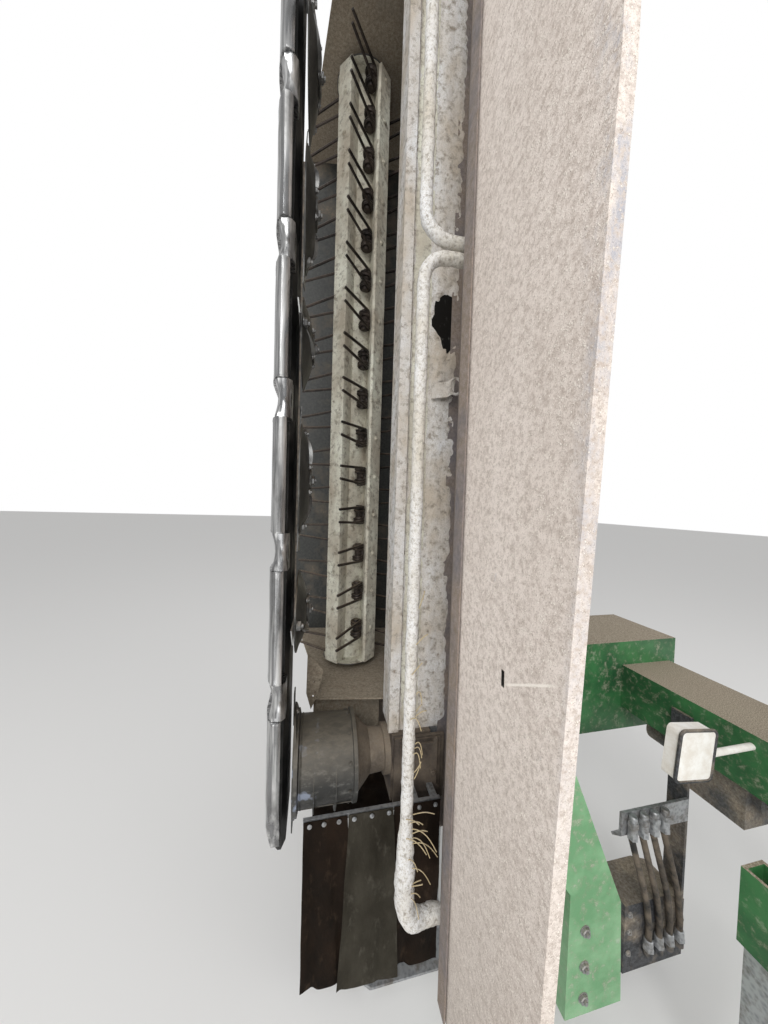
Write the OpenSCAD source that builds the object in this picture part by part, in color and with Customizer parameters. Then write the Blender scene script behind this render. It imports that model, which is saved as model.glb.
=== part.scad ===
// Side-arm disc mower conditioner, wing folded upright and standing on its legs.
// Wing frame: u is height above the disc plane in work, v is rearward, w runs along the cutterbar.
// The row frame has u along +X, v along +Y and w along +Z, because the wing is folded upright.

/* [Cutterbar] */
// distance between neighbouring disc axes
disc_pitch = 430; // [420:1:440]
// radius of a disc body
disc_radius = 178; // [170:1:180]
// height of a disc dome above the disc plane
disc_dome = 40; // [36:1:60]
// radius swept by a knife tip
knife_reach = 236; // [225:1:240]
// knife width
knife_width = 46; // [36:1:50]
// knife thickness
knife_thick = 4; // [3:0.5:5]
// cutterbar housing front edge ahead of the disc axes
bar_front = 110; // [100:1:120]
// cutterbar housing rear edge behind the disc axes
bar_rear = 120; // [100:1:140]
// cutterbar housing thickness
bar_thick = 38; // [30:1:44]
// place of the drum disc's axis along the bar
drum_w = 130; // [125:1:170]
// reach of the bar past its inner joint
bar_inner = 60; // [50:1:70]
// radius of the inner crop drum
drum_radius = 130; // [120:1:134]
// height of the inner crop drum lip above the disc plane
drum_top = 210; // [190:1:220]
// half width of a disc across its waist
disc_waist = 128; // [120:1:140]

/* [Skids] */
// length of one skid nose along the bar
skid_length = 322; // [300:1:330]
// depth of the skid sole below the disc plane
skid_drop = 70; // [60:1:80]
// reach of the skid noses ahead of the disc axes
skid_front = 174; // [160:1:185]
// reach of the skid heel behind the disc axes
skid_rear = 160; // [140:1:180]

/* [Conditioner rotor] */
// height of the rotor axis above the disc plane
rotor_u = 234; // [228:1:240]
// distance of the rotor axis behind the disc axes
rotor_v = 420; // [410:1:440]
// gap from an end plate to the rotor
rotor_play = 24; // [18:1:40]
// turn of the tine rows about the rotor axis
row_turn = 12; // [0:1:20]
// backward lean of a tine from the radial line
tine_lean = 30; // [10:1:35]
// radius of the rotor tube
rotor_tube = 62; // [55:1:70]
// radius swept by a tine tip
tine_reach = 264; // [240:1:272]
// tine rows around the rotor
tine_rows = 4; // [2:2:4]
// distance between tine units in a row
tine_pitch = 172; // [165:1:184]
// tine wire radius
tine_wire = 6; // [4:0.5:7]
// outer radius of a tine coil
coil_radius = 26; // [20:1:28]
// length of the two coils of a tine unit together
coil_length = 84; // [72:1:96]
// gap between the two coils of a tine unit
coil_gap = 14; // [8:1:20]
// inward lean of a tine along the rotor from its coil to its tip
tine_toe = 11; // [0:1:16]
// half width of a rotor rail's face
rail_half = 35; // [28:1:36]
// outer face of a rotor rail from the rotor axis
rail_face = 124; // [118:1:128]

/* [Hood and beam] */
// height of the hood top above the disc plane
hood_u = 540; // [536:1:560]
// sheet thickness of the hood and end plates
sheet = 6; // [4:0.5:8]
// front face of the conditioner beam, ahead of the disc axes
beam_front = 50; // [40:1:60]
// depth of the conditioner beam
beam_depth = 110; // [90:1:130]
// lower edge of the conditioner beam above the disc plane
beam_low = 326; // [300:1:340]
// start of the conditioner beam along the bar
beam_start = 222; // [212:1:240]
// rear edge of the hood top behind the disc axes
hood_rear = 750; // [740:1:780]
// depth of the lip rail on the beam's front face
lip_depth = 14; // [8:1:20]
// lower edge of the rear deflector, from the disc plane
deflector_low = -40; // [-45:1:60]
// rearward lean of the deflector's lower edge
deflector_lean = 80; // [40:1:100]
// inner end plate position along the bar
inner_plate_w = 255; // [250:1:258]
// outer end plate position along the bar
outer_plate_w = 2915; // [2912:1:2930]

/* [Front guard] */
// height of the guard panel above the disc plane
guard_u = 370; // [350:1:390]
// reach of the guard's bend ahead of the disc axes
guard_bend = 440; // [420:1:450]
// reach of the guard panel's front edge ahead of the disc axes
guard_front = 796; // [780:1:840]
// cut-back of the panel's front edge at its inner end
guard_cut = 73; // [0:1:90]
// overhang of the guard below the inner end of the bar
guard_below = 150; // [120:1:155]
// overhang of the guard past the outer end of the bar
guard_above = 30; // [10:1:40]
// guard sheet thickness
guard_sheet = 4; // [3:0.5:5]
// radius of the guard frame's bent tubes
guard_tube = 13; // [11:1:17]
// height of the bent tubes above the disc plane
tube_u = 290; // [284:1:300]
// bent tubes ahead of the disc axes
tube_v = 380; // [370:1:390]

/* [Fold and arm] */
// fold pivot distance from the disc plane
pivot_u = 640; // [635:1:660]
// height of the disc plane above the ground in work
work_height = 70; // [60:1:80]
// height of the bar's inner end above the ground when folded
inner_height = 540; // [530:1:560]
// fold tube radius
fold_tube = 55; // [45:1:58]
// arm box width across the wing's height
arm_width = 140; // [120:1:150]
// arm box depth
arm_depth = 230; // [220:1:236]
// front face of the arm behind the disc axes
arm_front = -15; // [-16:1:-12]
// gap from the hood top to the arm box
arm_gap = 150; // [130:1:160]
// arm box wall
arm_wall = 8; // [6:1:12]

/* [Headstock] */
// distance of the machine's centreline from the disc plane
centre_u = 1420; // [1418:1:1440]
// half the distance between the lower link pins
link_half = 412.5; // [400:0.5:420]
// lower link pin radius
link_pin = 14; // [14:0.5:18]
// lower link pin height when parked
link_height = 600; // [560:1:620]
// lower link pins' reach ahead of the disc axes
link_front = 850; // [845:1:870]
// height of the top link pin above the lower link pins
mast_height = 610; // [590:1:640]
// top link pin radius
top_pin = 12.7; // [12:0.1:16]
// drive stub radius
stub_radius = 17.4; // [17:0.1:22.5]

/* [Stands] */
// side of a stand leg's square tube
leg_side = 50; // [40:1:50]
// half the length of a stand's foot plate
foot_half = 100; // [80:1:110]
// reach of the front wing stand's foot away from the headstock
long_reach = 267; // [220:1:275]
// half the distance between the headstock legs
leg_half = 330; // [320:1:340]
// height of the rear wing leg above the disc plane
rear_leg_u = 300; // [280:1:320]
// rear wing leg behind the disc axes
rear_leg_v = 640; // [620:1:650]

/* [Hoses] */
// radius of a hydraulic hose
hose_radius = 9; // [7:0.5:10]
// distance between neighbouring hoses
hose_step = 42; // [36:1:44]
// height of the hose couplings' bracket above the ground
bracket_z = 515; // [500:1:540]

/* [Swath boards] */
// lower edge of a swath board above the disc plane
board_low = 90; // [80:1:110]
// swath board length
board_length = 420; // [350:1:450]
// swath board hinge behind the disc axes
board_v = 870; // [865:1:900]

/* [Hidden] */
disc_count = 7;
bar_length = disc_count * disc_pitch;
disc_floor = 8;
running = 0.05;
gap = 0.2;
clear = 6;
pivot_z = pivot_u + work_height;
pivot_w = pivot_z - inner_height;
fine = 48;
pin_free = 80;
stub_free = 88;
lug_radius = 42;
lug_plate = 16;
lug_half = 35;
left_u = -skid_drop;
right_u = centre_u + link_half - lug_half + lug_plate / 2 + pin_free;
front_v = -(link_front + lug_radius);
rear_v = board_v + board_length;
origin_u = (left_u + right_u) / 2;
origin_v = (front_v + rear_v) / 2;
hinge_v = -(guard_bend + 3);
hinge_u = guard_u + 4;
hinge_pin = 7;
slope_run = beam_front + 4;
arm_u = hood_u + arm_gap;
arm_back = arm_front + arm_depth;
arm_top_w = bar_length / 2 + 60;
plate_back = arm_back + 10;
plate_front = arm_front - 10;
carrier_plate = 20;
post_front = -(guard_bend - 8);
cyl_base_u = pivot_u + 540;
cyl_base_z = pivot_z + 90;
cyl_pin_u = pivot_u + 90;
cyl_pin_z = pivot_z + 100;
cyl_length = sqrt(pow(cyl_base_u - cyl_pin_u, 2) + pow(cyl_base_z - cyl_pin_z, 2));
cyl_angle = atan2(cyl_pin_z - cyl_base_z, cyl_pin_u - cyl_base_u);
cyl_v = (arm_front + arm_back) / 2;
strut_z = pivot_z + 35;
leg_hole = leg_side / 2 + 1;
hub_step = 6;
sleeve_wall = 8;
front_leg_u = hood_u - gap - leg_side / 2 - sleeve_wall;
front_leg_v = beam_front - leg_side / 2 - sleeve_wall;
rotor_start = inner_plate_w + sheet + rotor_play;
rotor_end = outer_plate_w - rotor_play;
tine_first = 64;
tine_count = floor((rotor_end - rotor_start - tine_first - tine_pitch / 2 - coil_length / 2) / tine_pitch) + 1;
// corners of the sloped guard: inner face top and foot, flange under the folding guard's edge
slope_top = [hood_u - 6, -beam_front - gap - 3];
flange_front = hinge_v - 27;
flange_u = hinge_u - hinge_pin - 0.5;
slope_foot = [flange_u - 3, -guard_bend + 8.3];
// line of the rear deflector at a height u
function deflector_line(u) = hood_rear - 7 + deflector_lean * (hood_u - gap - u) / (hood_u - gap - deflector_low);
carrier_high = pivot_z + 300;
hinge_leaf = 40;
guard_hinges = 5;
outer_hinges = [0, 200];
outer_hinge_w = bar_length + guard_above + 6;
curtain_v = -160;
curtain_thick = 7;
curtain_top = 58;
// columns: left edge, right edge, lower edge
curtain_panels = [[45, 168, -455], [176, 322, -500], [330, hood_u - 64, -500]];
beam_half = 120;
box_u = pivot_u + 408;
box_z = 70;
box_v = -310;
box_deep = 120;
box_wall = 8;
hose_u = pivot_u + 410;
hose_v = -318;
coupling = 13;
drum_fins = [72, 140];
rail_turn = row_turn + 180 / tine_rows - 14;
saddle_half = 50;
saddle_waist = 12;
saddle_cut = 120;
first_skid = -30;
shield_v = 160;
baffle_u = 70;
baffle_v = 122;

green = [0.16, 0.42, 0.20];
slate = [0.24, 0.28, 0.33];
dust = [0.52, 0.45, 0.36];
steel = [0.35, 0.35, 0.36];
polished = [0.62, 0.63, 0.64];
brown = [0.27, 0.19, 0.14];
black = [0.08, 0.08, 0.09];

module on_wing() {
    translate([-origin_u, -origin_v, inner_height]) children();
}

module on_ground() {
    translate([-origin_u, -origin_v, 0]) children();
}

// box given by its two corners
module span(a, b) {
    translate(a) cube(b - a);
}

// cylinder along +X from a point
module rod_u(p, r, h) {
    translate(p) rotate([0, 90, 0]) cylinder(r = r, h = h, $fn = fine);
}

// cylinder along +Y from a point
module rod_v(p, r, h) {
    translate(p) rotate([-90, 0, 0]) cylinder(r = r, h = h, $fn = fine);
}

// cylinder between two points
module strut(a, b, r) {
    d = b - a;
    l = norm(d);
    turn = atan2(d[1], d[0]);
    tilt = acos(d[2] / l);
    translate(a) rotate([0, tilt, turn]) cylinder(r = r, h = l, $fn = 24);
}

// plate with an outline in X and Z, thick along Y
module plate_xz(v, thick, outline) {
    translate([0, v + thick, 0]) rotate([90, 0, 0]) linear_extrude(height = thick) polygon(outline);
}

// prism along the bar with an outline in u and v
module prism(w0, w1, outline) {
    translate([0, 0, w0]) linear_extrude(height = w1 - w0) polygon(outline);
}

// headstock

module headstock_frame() {
    low = link_height;
    mast_z = link_height + mast_height;
    reach = link_half - lug_half;
    color(green) on_ground() difference() {
        union() {
            rod_u([centre_u - reach, -link_front + 110, low], 50, 2 * reach);
            for (side = [-1, 1]) {
                translate([centre_u + side * reach - lug_plate / 2, 0, 0]) {
                    rod_u([0, -link_front, low], lug_radius, lug_plate);
                    span([0, -link_front, low - lug_radius], [lug_plate, -link_front + 160, low + lug_radius]);
                }
                plate_yz(centre_u + side * 90 - 10, 20, [
                    [-link_front + 70, low - 50],
                    [-link_front + 210, low - 50],
                    [-link_front + 260, low + 60],
                    [-link_front + 260, strut_z + 170],
                    [-link_front + 150, mast_z + 50],
                    [-link_front + 10, mast_z + 50],
                    [-link_front + 40, low + 60]
                ]);
                span(
                    [centre_u + side * leg_half - 34, -link_front + 216, low - 60],
                    [centre_u + side * leg_half + 34, -link_front + 284, low + 120]
                );
                span(
                    [centre_u + side * leg_half - 15, -link_front + 110, low - 40],
                    [centre_u + side * leg_half + 15, -link_front + 220, low + 40]
                );
            }
            span(
                [centre_u - beam_half, -link_front + 180, strut_z],
                [centre_u + beam_half, plate_front - carrier_plate - gap, strut_z + 170]
            );
        }
        span(
            [centre_u - beam_half + 10, -link_front + 190, strut_z + 10],
            [centre_u + beam_half - 10, plate_front - carrier_plate - 10, strut_z + 160]
        );
        for (side = [-1, 1]) {
            rod_u([centre_u + side * reach - 20, -link_front, low], link_pin + 3 + gap, 40);
            translate([centre_u + side * leg_half, -link_front + 250, low - 70]) {
                translate([-leg_hole, -leg_hole, 0]) cube([2 * leg_hole, 2 * leg_hole, 220]);
            }
        }
        rod_u([centre_u - 130, -link_front + 80, mast_z], top_pin + 3 + gap, 260);
    }
}

// plate with an outline in Y and Z, thick along X
module plate_yz(u, thick, outline) {
    translate([u, 0, 0]) rotate([90, 0, 90]) linear_extrude(height = thick) polygon(outline);
}

module link_pins() {
    reach = link_half - lug_half;
    color(polished) on_ground() {
        for (side = [-1, 1]) {
            face = centre_u + side * (reach + lug_plate / 2);
            rod_u([side < 0 ? face - pin_free : face, -link_front, link_height], link_pin, pin_free);
            rod_u([side < 0 ? face : face - lug_plate - 12, -link_front, link_height], link_pin + 3, lug_plate + 12);
        }
        rod_u([centre_u - 80, -link_front + 80, link_height + mast_height], top_pin, 160);
        for (side = [-1, 1]) {
            rod_u(
                [side < 0 ? centre_u - 112 : centre_u + 80, -link_front + 80, link_height + mast_height],
                top_pin + 3,
                32
            );
        }
    }
}

module pivot_carrier() {
    low = pivot_z - 60;
    color(green) on_ground() difference() {
        union() {
            for (v = [plate_front - carrier_plate, plate_back]) {
                plate_xz(v, carrier_plate, [
                    [pivot_u - 30, low],
                    [centre_u + 150, low],
                    [centre_u + 150, carrier_high],
                    [centre_u - 300, carrier_high],
                    [pivot_u + 330, pivot_z + 150],
                    [pivot_u + 60, pivot_z + 60],
                    [pivot_u - 30, pivot_z + 70]
                ]);
                rod_v([pivot_u, v, pivot_z], 72, carrier_plate);
            }
            span([centre_u - 150, plate_front, low], [centre_u + 150, plate_back, carrier_high]);
            span([centre_u - 300, plate_front, carrier_high - 130], [centre_u - 149, plate_back, carrier_high]);
            for (v = [cyl_v - 50, cyl_v + 34]) {
                span([cyl_base_u - 35, v, low], [centre_u - 150, v + 16, cyl_base_z + 35]);
            }
        }
        span([centre_u - 140, plate_front + 10, low + 10], [centre_u + 140, plate_back - 10, carrier_high - 10]);
        span(
            [centre_u - 290, plate_front + 10, carrier_high - 120],
            [centre_u - 139, plate_back - 10, carrier_high - 10]
        );
        rod_v([pivot_u, plate_front - 30, pivot_z], fold_tube + running, arm_depth + 80);
        rod_v([cyl_base_u, cyl_v - 60, cyl_base_z], 15 + running, 120);
    }
}

module main_gearbox() {
    shaft_u = centre_u - 10;
    shaft_z = pivot_z - 20;
    hub = strut_z - shaft_z - 5;
    color(steel) on_ground() difference() {
        union() {
            span([shaft_u - 75, -420, pivot_z - 110], [shaft_u + 75, -195, strut_z - gap]);
            rod_v([shaft_u, -440, shaft_z], hub, 60);
            rod_v([shaft_u, -196, shaft_z], hub, 90);
        }
        rod_v([shaft_u, -450, shaft_z], stub_radius + 10, 60);
    }
}

module pto_stub() {
    color(polished) on_ground() {
        rod_v([centre_u - 10, -520, pivot_z - 20], stub_radius, stub_free);
        rod_v([centre_u - 10, -520 + stub_free, pivot_z - 20], stub_radius + 5, 37);
    }
}

// box of valves hung from the headstock beam by a side plate
module valve_box() {
    hanger = centre_u - beam_half - gap;
    color(black) on_ground() {
        difference() {
            union() {
                plate_xz(box_v, box_deep, [
                    [box_u, box_z],
                    [box_u + 240, box_z],
                    [box_u + 240, box_z + 190],
                    [box_u + 160, box_z + 222],
                    [box_u, box_z + 222]
                ]);
                span([box_u + 230, -300, box_z + 60], [hanger, -240, box_z + 180]);
                span([hanger - 10, -300, box_z + 60], [hanger, -240, strut_z + 120]);
            }
            plate_xz(box_v + box_wall, box_deep - 2 * box_wall, [
                [box_u + 8, box_z + 8],
                [box_u + 232, box_z + 8],
                [box_u + 232, box_z + 184],
                [box_u + 156, box_z + 214],
                [box_u + 8, box_z + 214]
            ]);
        }
        for (n = [0:3]) {
            translate(hose_end(n) - [0, 0, 30 + gap]) cylinder(r = coupling, h = 30, $fn = fine);
        }
    }
}

// lower end of a hose, on the valve box's front face
function hose_end(n) = [hose_u + 80 + hose_step * n, box_v - coupling + 1, box_z + 90 + gap];

// bent plate with four couplings on its front
module hose_bracket() {
    right = centre_u - beam_half - 10 - 2 * gap;
    color(steel) on_ground() {
        plate_yz(hose_u - 30, right - hose_u + 30, [
            [-306, bracket_z + 82],
            [-298, bracket_z + 82],
            [-298, bracket_z + 12],
            [-272, bracket_z - 10],
            [-277, bracket_z - 16],
            [-306, bracket_z + 8]
        ]);
        for (n = [0:3]) {
            translate([hose_u + hose_step * n, hose_v, bracket_z + 20]) cylinder(r = coupling, h = 40, $fn = fine);
        }
    }
}

// four hoses from the bracket down to the valve box
module hydraulic_hoses() {
    color(black) on_ground() for (n = [0:3]) {
        start = [hose_u + hose_step * n, hose_v, bracket_z + 20 - gap];
        end = hose_end(n);
        bow = [
            start,
            start + [0, 0, -20],
            start + [18, -4, -85],
            start + [45, -4, -165],
            start + [66, -4, -235],
            [end[0], end[1], box_z + 150],
            end
        ];
        for (k = [0:5]) {
            strut(bow[k], bow[k + 1], hose_radius);
            if (k > 0) translate(bow[k]) sphere(r = hose_radius + 0.5, $fn = 24);
        }
    }
}

module work_lamp() {
    u = pivot_u + 407;
    v = -455;
    z = strut_z + 165;
    wide = 46;
    high = 52;
    round = 14;
    color(polished) on_ground() {
        translate([u, v + 18, z]) rotate([0, 6, 0]) rotate([90, 0, 0]) linear_extrude(height = 36) {
            square([2 * wide, 2 * (high + round)], center = true);
            square([2 * (wide + round), 2 * high], center = true);
            for (x = [-wide, wide]) for (y = [-high, high]) translate([x, y]) circle(r = round, $fn = 32);
        }
        rod_u([u + 50, v + 12, z - 30], 9, centre_u - beam_half - gap - u - 50);
    }
}

// square leg on a foot plate with an upturned toe
module stand_leg(top, reach_left = foot_half, reach_right = foot_half - 42, reach_front = 60) {
    cut = leg_side - 10;
    difference() {
        translate([-leg_side / 2, -leg_side / 2, 6]) cube([leg_side, leg_side, top - 6]);
        translate([-cut / 2, -cut / 2, 20]) cube([cut, cut, top]);
    }
    plate_xz(-reach_front, reach_front + 60, [
        [24 - reach_left, 0],
        [reach_right, 0],
        [reach_right, 8],
        [28 - reach_left, 8],
        [4 - reach_left, 30],
        [-reach_left, 26]
    ]);
}

module leg_left() {
    color(steel) on_ground() translate([centre_u - leg_half, -link_front + 250, 0]) stand_leg(link_height + 20);
}

module leg_right() {
    color(steel) on_ground() translate([centre_u + leg_half, -link_front + 250, 0]) stand_leg(link_height + 20);
}

module cylinder_barrel() {
    color(black) on_ground() translate([cyl_base_u, cyl_v, cyl_base_z]) rotate([0, 90 - cyl_angle, 0]) {
        difference() {
            union() {
                translate([0, 0, 40]) cylinder(r = 40, h = 250, $fn = fine);
                rotate([90, 0, 0]) translate([0, 0, -28]) cylinder(r = 32, h = 56, $fn = fine);
                translate([-25, -28, 0]) cube([50, 56, 45]);
            }
            rotate([90, 0, 0]) translate([0, 0, -40]) cylinder(r = 15 + 2 * running, h = 80, $fn = fine);
            translate([0, 0, 60]) cylinder(r = 22.5 + running, h = 260, $fn = fine);
        }
        rotate([90, 0, 0]) translate([0, 0, -48]) cylinder(r = 15, h = 96, $fn = fine);
    }
}

module cylinder_rod() {
    color(polished) on_ground() translate([cyl_base_u, cyl_v, cyl_base_z]) rotate([0, 90 - cyl_angle, 0]) {
        translate([0, 0, 65]) cylinder(r = 22.5, h = cyl_length - 95, $fn = fine);
        translate([0, 0, cyl_length]) difference() {
            rotate([90, 0, 0]) translate([0, 0, -25]) cylinder(r = 34, h = 50, $fn = fine);
            rotate([90, 0, 0]) translate([0, 0, -40]) cylinder(r = 16, h = 80, $fn = fine);
        }
    }
}

// folding wing

module lift_arm() {
    color(green) on_wing() difference() {
        union() {
            rod_v([pivot_u, post_front + 14, pivot_w], fold_tube, arm_back - post_front + 38);
            for (v = [arm_front, arm_back - 20]) {
                plate_xz(v, 20, [
                    [pivot_u - 45, pivot_w - 50],
                    [pivot_u + 60, pivot_w - 50],
                    [arm_u + arm_width, pivot_w + 60],
                    [arm_u + arm_width, pivot_w + 300],
                    [arm_u, pivot_w + 300],
                    [arm_u - 40, pivot_w + 100],
                    [pivot_u - 45, pivot_w + 50]
                ]);
            }
            span([arm_u, arm_front, pivot_w + 260], [arm_u + arm_width, arm_back, arm_top_w]);
        }
        span(
            [arm_u + arm_wall, arm_front + arm_wall, pivot_w + 250],
            [arm_u + arm_width - arm_wall, arm_back - arm_wall, arm_top_w - arm_wall]
        );
    }
}

module pivot_gusset() {
    color(green) on_wing() translate([0, 0, pivot_w]) difference() {
        plate_xz(post_front + 22 + 5, 66, [
            [pivot_u - 62, -50],
            [pivot_u + 10, -62],
            [pivot_u + 105, -190],
            [pivot_u + 105, -540],
            [pivot_u + 288, -540],
            [pivot_u + 272, -248],
            [pivot_u + 106, 134],
            [pivot_u + 60, 165],
            [pivot_u - 62, 60]
        ]);
        rod_v([pivot_u, post_front, 0], fold_tube + gap, 120);
        plate_xz(post_front + 22 + 13, 50, [
            [pivot_u + 113, -220],
            [pivot_u + 113, -532],
            [pivot_u + 280, -532],
            [pivot_u + 264, -250],
            [pivot_u + 240, -220]
        ]);
    }
}

module wing_hanger() {
    mid = bar_length / 2;
    color(green) on_wing() {
        for (v = [arm_front, arm_back - 24]) {
            plate_xz(v, 24, [
                [hood_u + sheet + gap, mid - 220],
                [arm_u - gap, mid - 90],
                [arm_u - gap, mid + 60],
                [hood_u + sheet + gap, mid + 200]
            ]);
        }
        rod_v([hood_u + 80, arm_front - 25, mid], 30, arm_depth + 50);
    }
}

module main_beam() {
    outer = -beam_front;
    back = beam_depth - beam_front;
    color(dust) on_wing() difference() {
        union() {
            prism(beam_start, bar_length, [
                [beam_low, outer],
                [hood_u - gap, outer],
                [hood_u - gap, back],
                [beam_low, back]
            ]);
            prism(beam_start + 4, bar_length - 4, [
                [beam_low - 6, outer - lip_depth],
                [beam_low + 28, outer - lip_depth],
                [beam_low + 28, outer - lip_depth + 6],
                [beam_low, outer - lip_depth + 6],
                [beam_low, outer + 6],
                [beam_low - 6, outer + 6]
            ]);
        }
        prism(beam_start + 8, bar_length - 8, [
            [beam_low + 8, outer + 8],
            [hood_u - gap - 8, outer + 8],
            [hood_u - gap - 8, back - 8],
            [beam_low + 8, back - 8]
        ]);
    }
}

module hood_top() {
    color(slate) on_wing() {
        prism(-20, bar_length + 20, [
            [hood_u, -beam_front],
            [hood_u + sheet, -beam_front],
            [hood_u + sheet, hood_rear],
            [hood_u, hood_rear]
        ]);
        for (v = outer_hinges) {
            rod_v([hood_u + 9, v, outer_hinge_w], hinge_pin - 1, hinge_leaf);
            span([hood_u, v, bar_length + 10], [hood_u + sheet, v + hinge_leaf, outer_hinge_w]);
        }
    }
}

module inner_end_plate() {
    color(dust) on_wing() {
        translate([0, 0, inner_plate_w]) linear_extrude(height = sheet) difference() {
            polygon([
                [baffle_u, baffle_v],
                [baffle_u + 25, baffle_v - 8],
                [beam_low + 40, beam_depth - beam_front + 14],
                [hood_u - gap, beam_depth - beam_front + gap],
                [hood_u - gap, hood_rear - 8],
                [deflector_low + 20, deflector_line(deflector_low + 20) - 1],
                [baffle_u, 300]
            ]);
            translate([rotor_u, rotor_v]) circle(r = 40, $fn = fine);
        }
        plate_xz(shield_v, 4, [
            [baffle_u, inner_plate_w + sheet],
            [baffle_u, -20],
            [hood_u - gap, -20],
            [hood_u - gap, inner_plate_w + sheet]
        ]);
        difference() {
            plate_xz(baffle_v, 4, [
                [44, inner_plate_w + 180],
                [104, inner_plate_w + 110],
                [82, inner_plate_w + 8],
                [60, inner_plate_w - 38],
                [42, inner_plate_w + 25]
            ]);
            for (hole = [[72, 68], [90, 72], [76, 26], [68, 12]]) {
                rod_v([hole[0], baffle_v - 1, inner_plate_w + hole[1]], 4, 6);
            }
        }
    }
}

module outer_end_plate() {
    color(dust) on_wing() translate([0, 0, outer_plate_w]) linear_extrude(height = sheet) difference() {
        polygon([
            [baffle_u + 10, 190],
            [hood_u - gap, beam_depth - beam_front + gap],
            [hood_u - gap, hood_rear - 8],
            [deflector_low + 20, deflector_line(deflector_low + 20) - 1]
        ]);
        translate([rotor_u, rotor_v]) circle(r = 40, $fn = fine);
    }
}

module rear_deflector() {
    foot = deflector_line(deflector_low);
    ears = [board_low - 22, hood_u - 90];
    color(slate) on_wing() difference() {
        union() {
            prism(inner_plate_w, outer_plate_w + sheet, [
                [hood_u - gap, hood_rear - 7],
                [hood_u - gap, hood_rear - 2],
                [deflector_low, foot + 5],
                [deflector_low, foot]
            ]);
            for (w = [inner_plate_w + 60, outer_plate_w - 60]) {
                for (u = ears) span([u, deflector_line(u) + 1, w - 22], [u + 10, board_v + 18, w + 22]);
            }
        }
        for (w = [inner_plate_w + 60, outer_plate_w - 60]) {
            rod_u([0, board_v, w], 12 + running, 600);
        }
    }
}

// housing of the gear train, with a waisted saddle between each two skids
module cutterbar() {
    low = -disc_floor - bar_thick;
    color(steel) on_wing() {
        prism(-bar_inner, bar_length + 10, [
            [-disc_floor - 12, -bar_front],
            [-disc_floor, -bar_front + 30],
            [-disc_floor, bar_rear - 20],
            [-disc_floor - 10, bar_rear],
            [low, bar_rear],
            [low, -bar_front + 20],
            [low + 16, -bar_front]
        ]);
        for (n = [1:disc_count]) {
            w = n * disc_pitch;
            difference() {
                prism(w - saddle_half, min(w + saddle_half, bar_length + 10), [
                    [low + 4, -bar_front - 46],
                    [low + 14, -bar_front - 52],
                    [-disc_floor - 20, -bar_front - 52],
                    [-disc_floor - 14, -bar_front - 44],
                    [-disc_floor - 12, -bar_front + 1],
                    [low + 18, -bar_front + 1]
                ]);
                rod_u([low - 10, saddle_waist - bar_front - 52 - saddle_cut, w], saddle_cut, bar_thick + 20);
            }
        }
    }
}

// the first shoe's inner end is cut away to a point
module skids() {
    top = -disc_floor - bar_thick - gap;
    color(polished) on_wing() for (n = [0:disc_count - 1]) {
        w = n == 0 ? first_skid : (n + 0.5) * disc_pitch - skid_length / 2;
        difference() {
            prism(w, (n + 0.5) * disc_pitch + skid_length / 2, [
                [-22, -skid_front],
                [-44, -skid_front - 2],
                [-60, -skid_front + 30],
                [-skid_drop, -skid_front + 76],
                [-skid_drop, skid_rear - 50],
                [-skid_drop + 20, skid_rear],
                [-skid_drop + 26, skid_rear],
                [top, skid_rear - 42],
                [top, -bar_front - 4],
                [-24, -bar_front - 24]
            ]);
            if (n == 0) {
                plate_xz(-skid_front - 10, skid_front + skid_rear + 20, [
                    [-skid_drop - 10, first_skid - 10],
                    [top - 3, first_skid - 10],
                    [-skid_drop - 10, first_skid + 160]
                ]);
                plate_yz(-skid_drop - 10, skid_drop, [
                    [-skid_front - 20, first_skid - 10],
                    [-bar_front - 10, first_skid - 10],
                    [-skid_front - 20, first_skid + 90]
                ]);
            }
        }
    }
}

function disc_w(n) = n == 1 ? drum_w : (n - 0.5) * disc_pitch;

// oval dome between two arcs, with two knives and, where no drum covers it, two curved vanes
module disc_body(n) {
    start = n % 2 == 1 ? 0 : 90;
    tip = disc_radius + 18;
    arc = (tip * tip + disc_waist * disc_waist) / (2 * disc_waist);
    vane = 140;
    color(steel) on_wing() translate([0, 0, disc_w(n)]) rotate([0, 90, 0]) rotate([0, 0, start]) {
        intersection() {
            rotate_extrude($fn = 60) polygon([
                [0, disc_floor],
                [disc_radius, disc_floor],
                [disc_radius, disc_floor + 4],
                [disc_radius * 0.8, disc_floor + 12],
                [disc_radius * 0.6, disc_dome * 0.78],
                [disc_radius * 0.42, disc_dome],
                [44, disc_dome],
                [44, disc_dome + hub_step],
                [0, disc_dome + hub_step]
            ]);
            translate([0, arc - disc_waist, 0]) cylinder(r = arc, h = 100, $fn = 60);
            translate([0, disc_waist - arc, 0]) cylinder(r = arc, h = 100, $fn = 60);
        }
        for (half = [0, 180]) rotate([0, 0, half]) {
            translate([disc_radius - 46, -knife_width / 2, disc_floor - knife_thick]) {
                cube([knife_reach - disc_radius + 46, knife_width, knife_thick]);
            }
            if (n > 1) intersection() {
                translate([70, -60, disc_floor + 3]) difference() {
                    cylinder(r = vane, h = disc_dome - disc_floor - 3, $fn = 60);
                    translate([0, 0, -1]) cylinder(r = vane - 8, h = disc_dome, $fn = 60);
                }
                translate([24, 20, 0]) cube([132, 100, 100]);
            }
        }
    }
}

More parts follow.
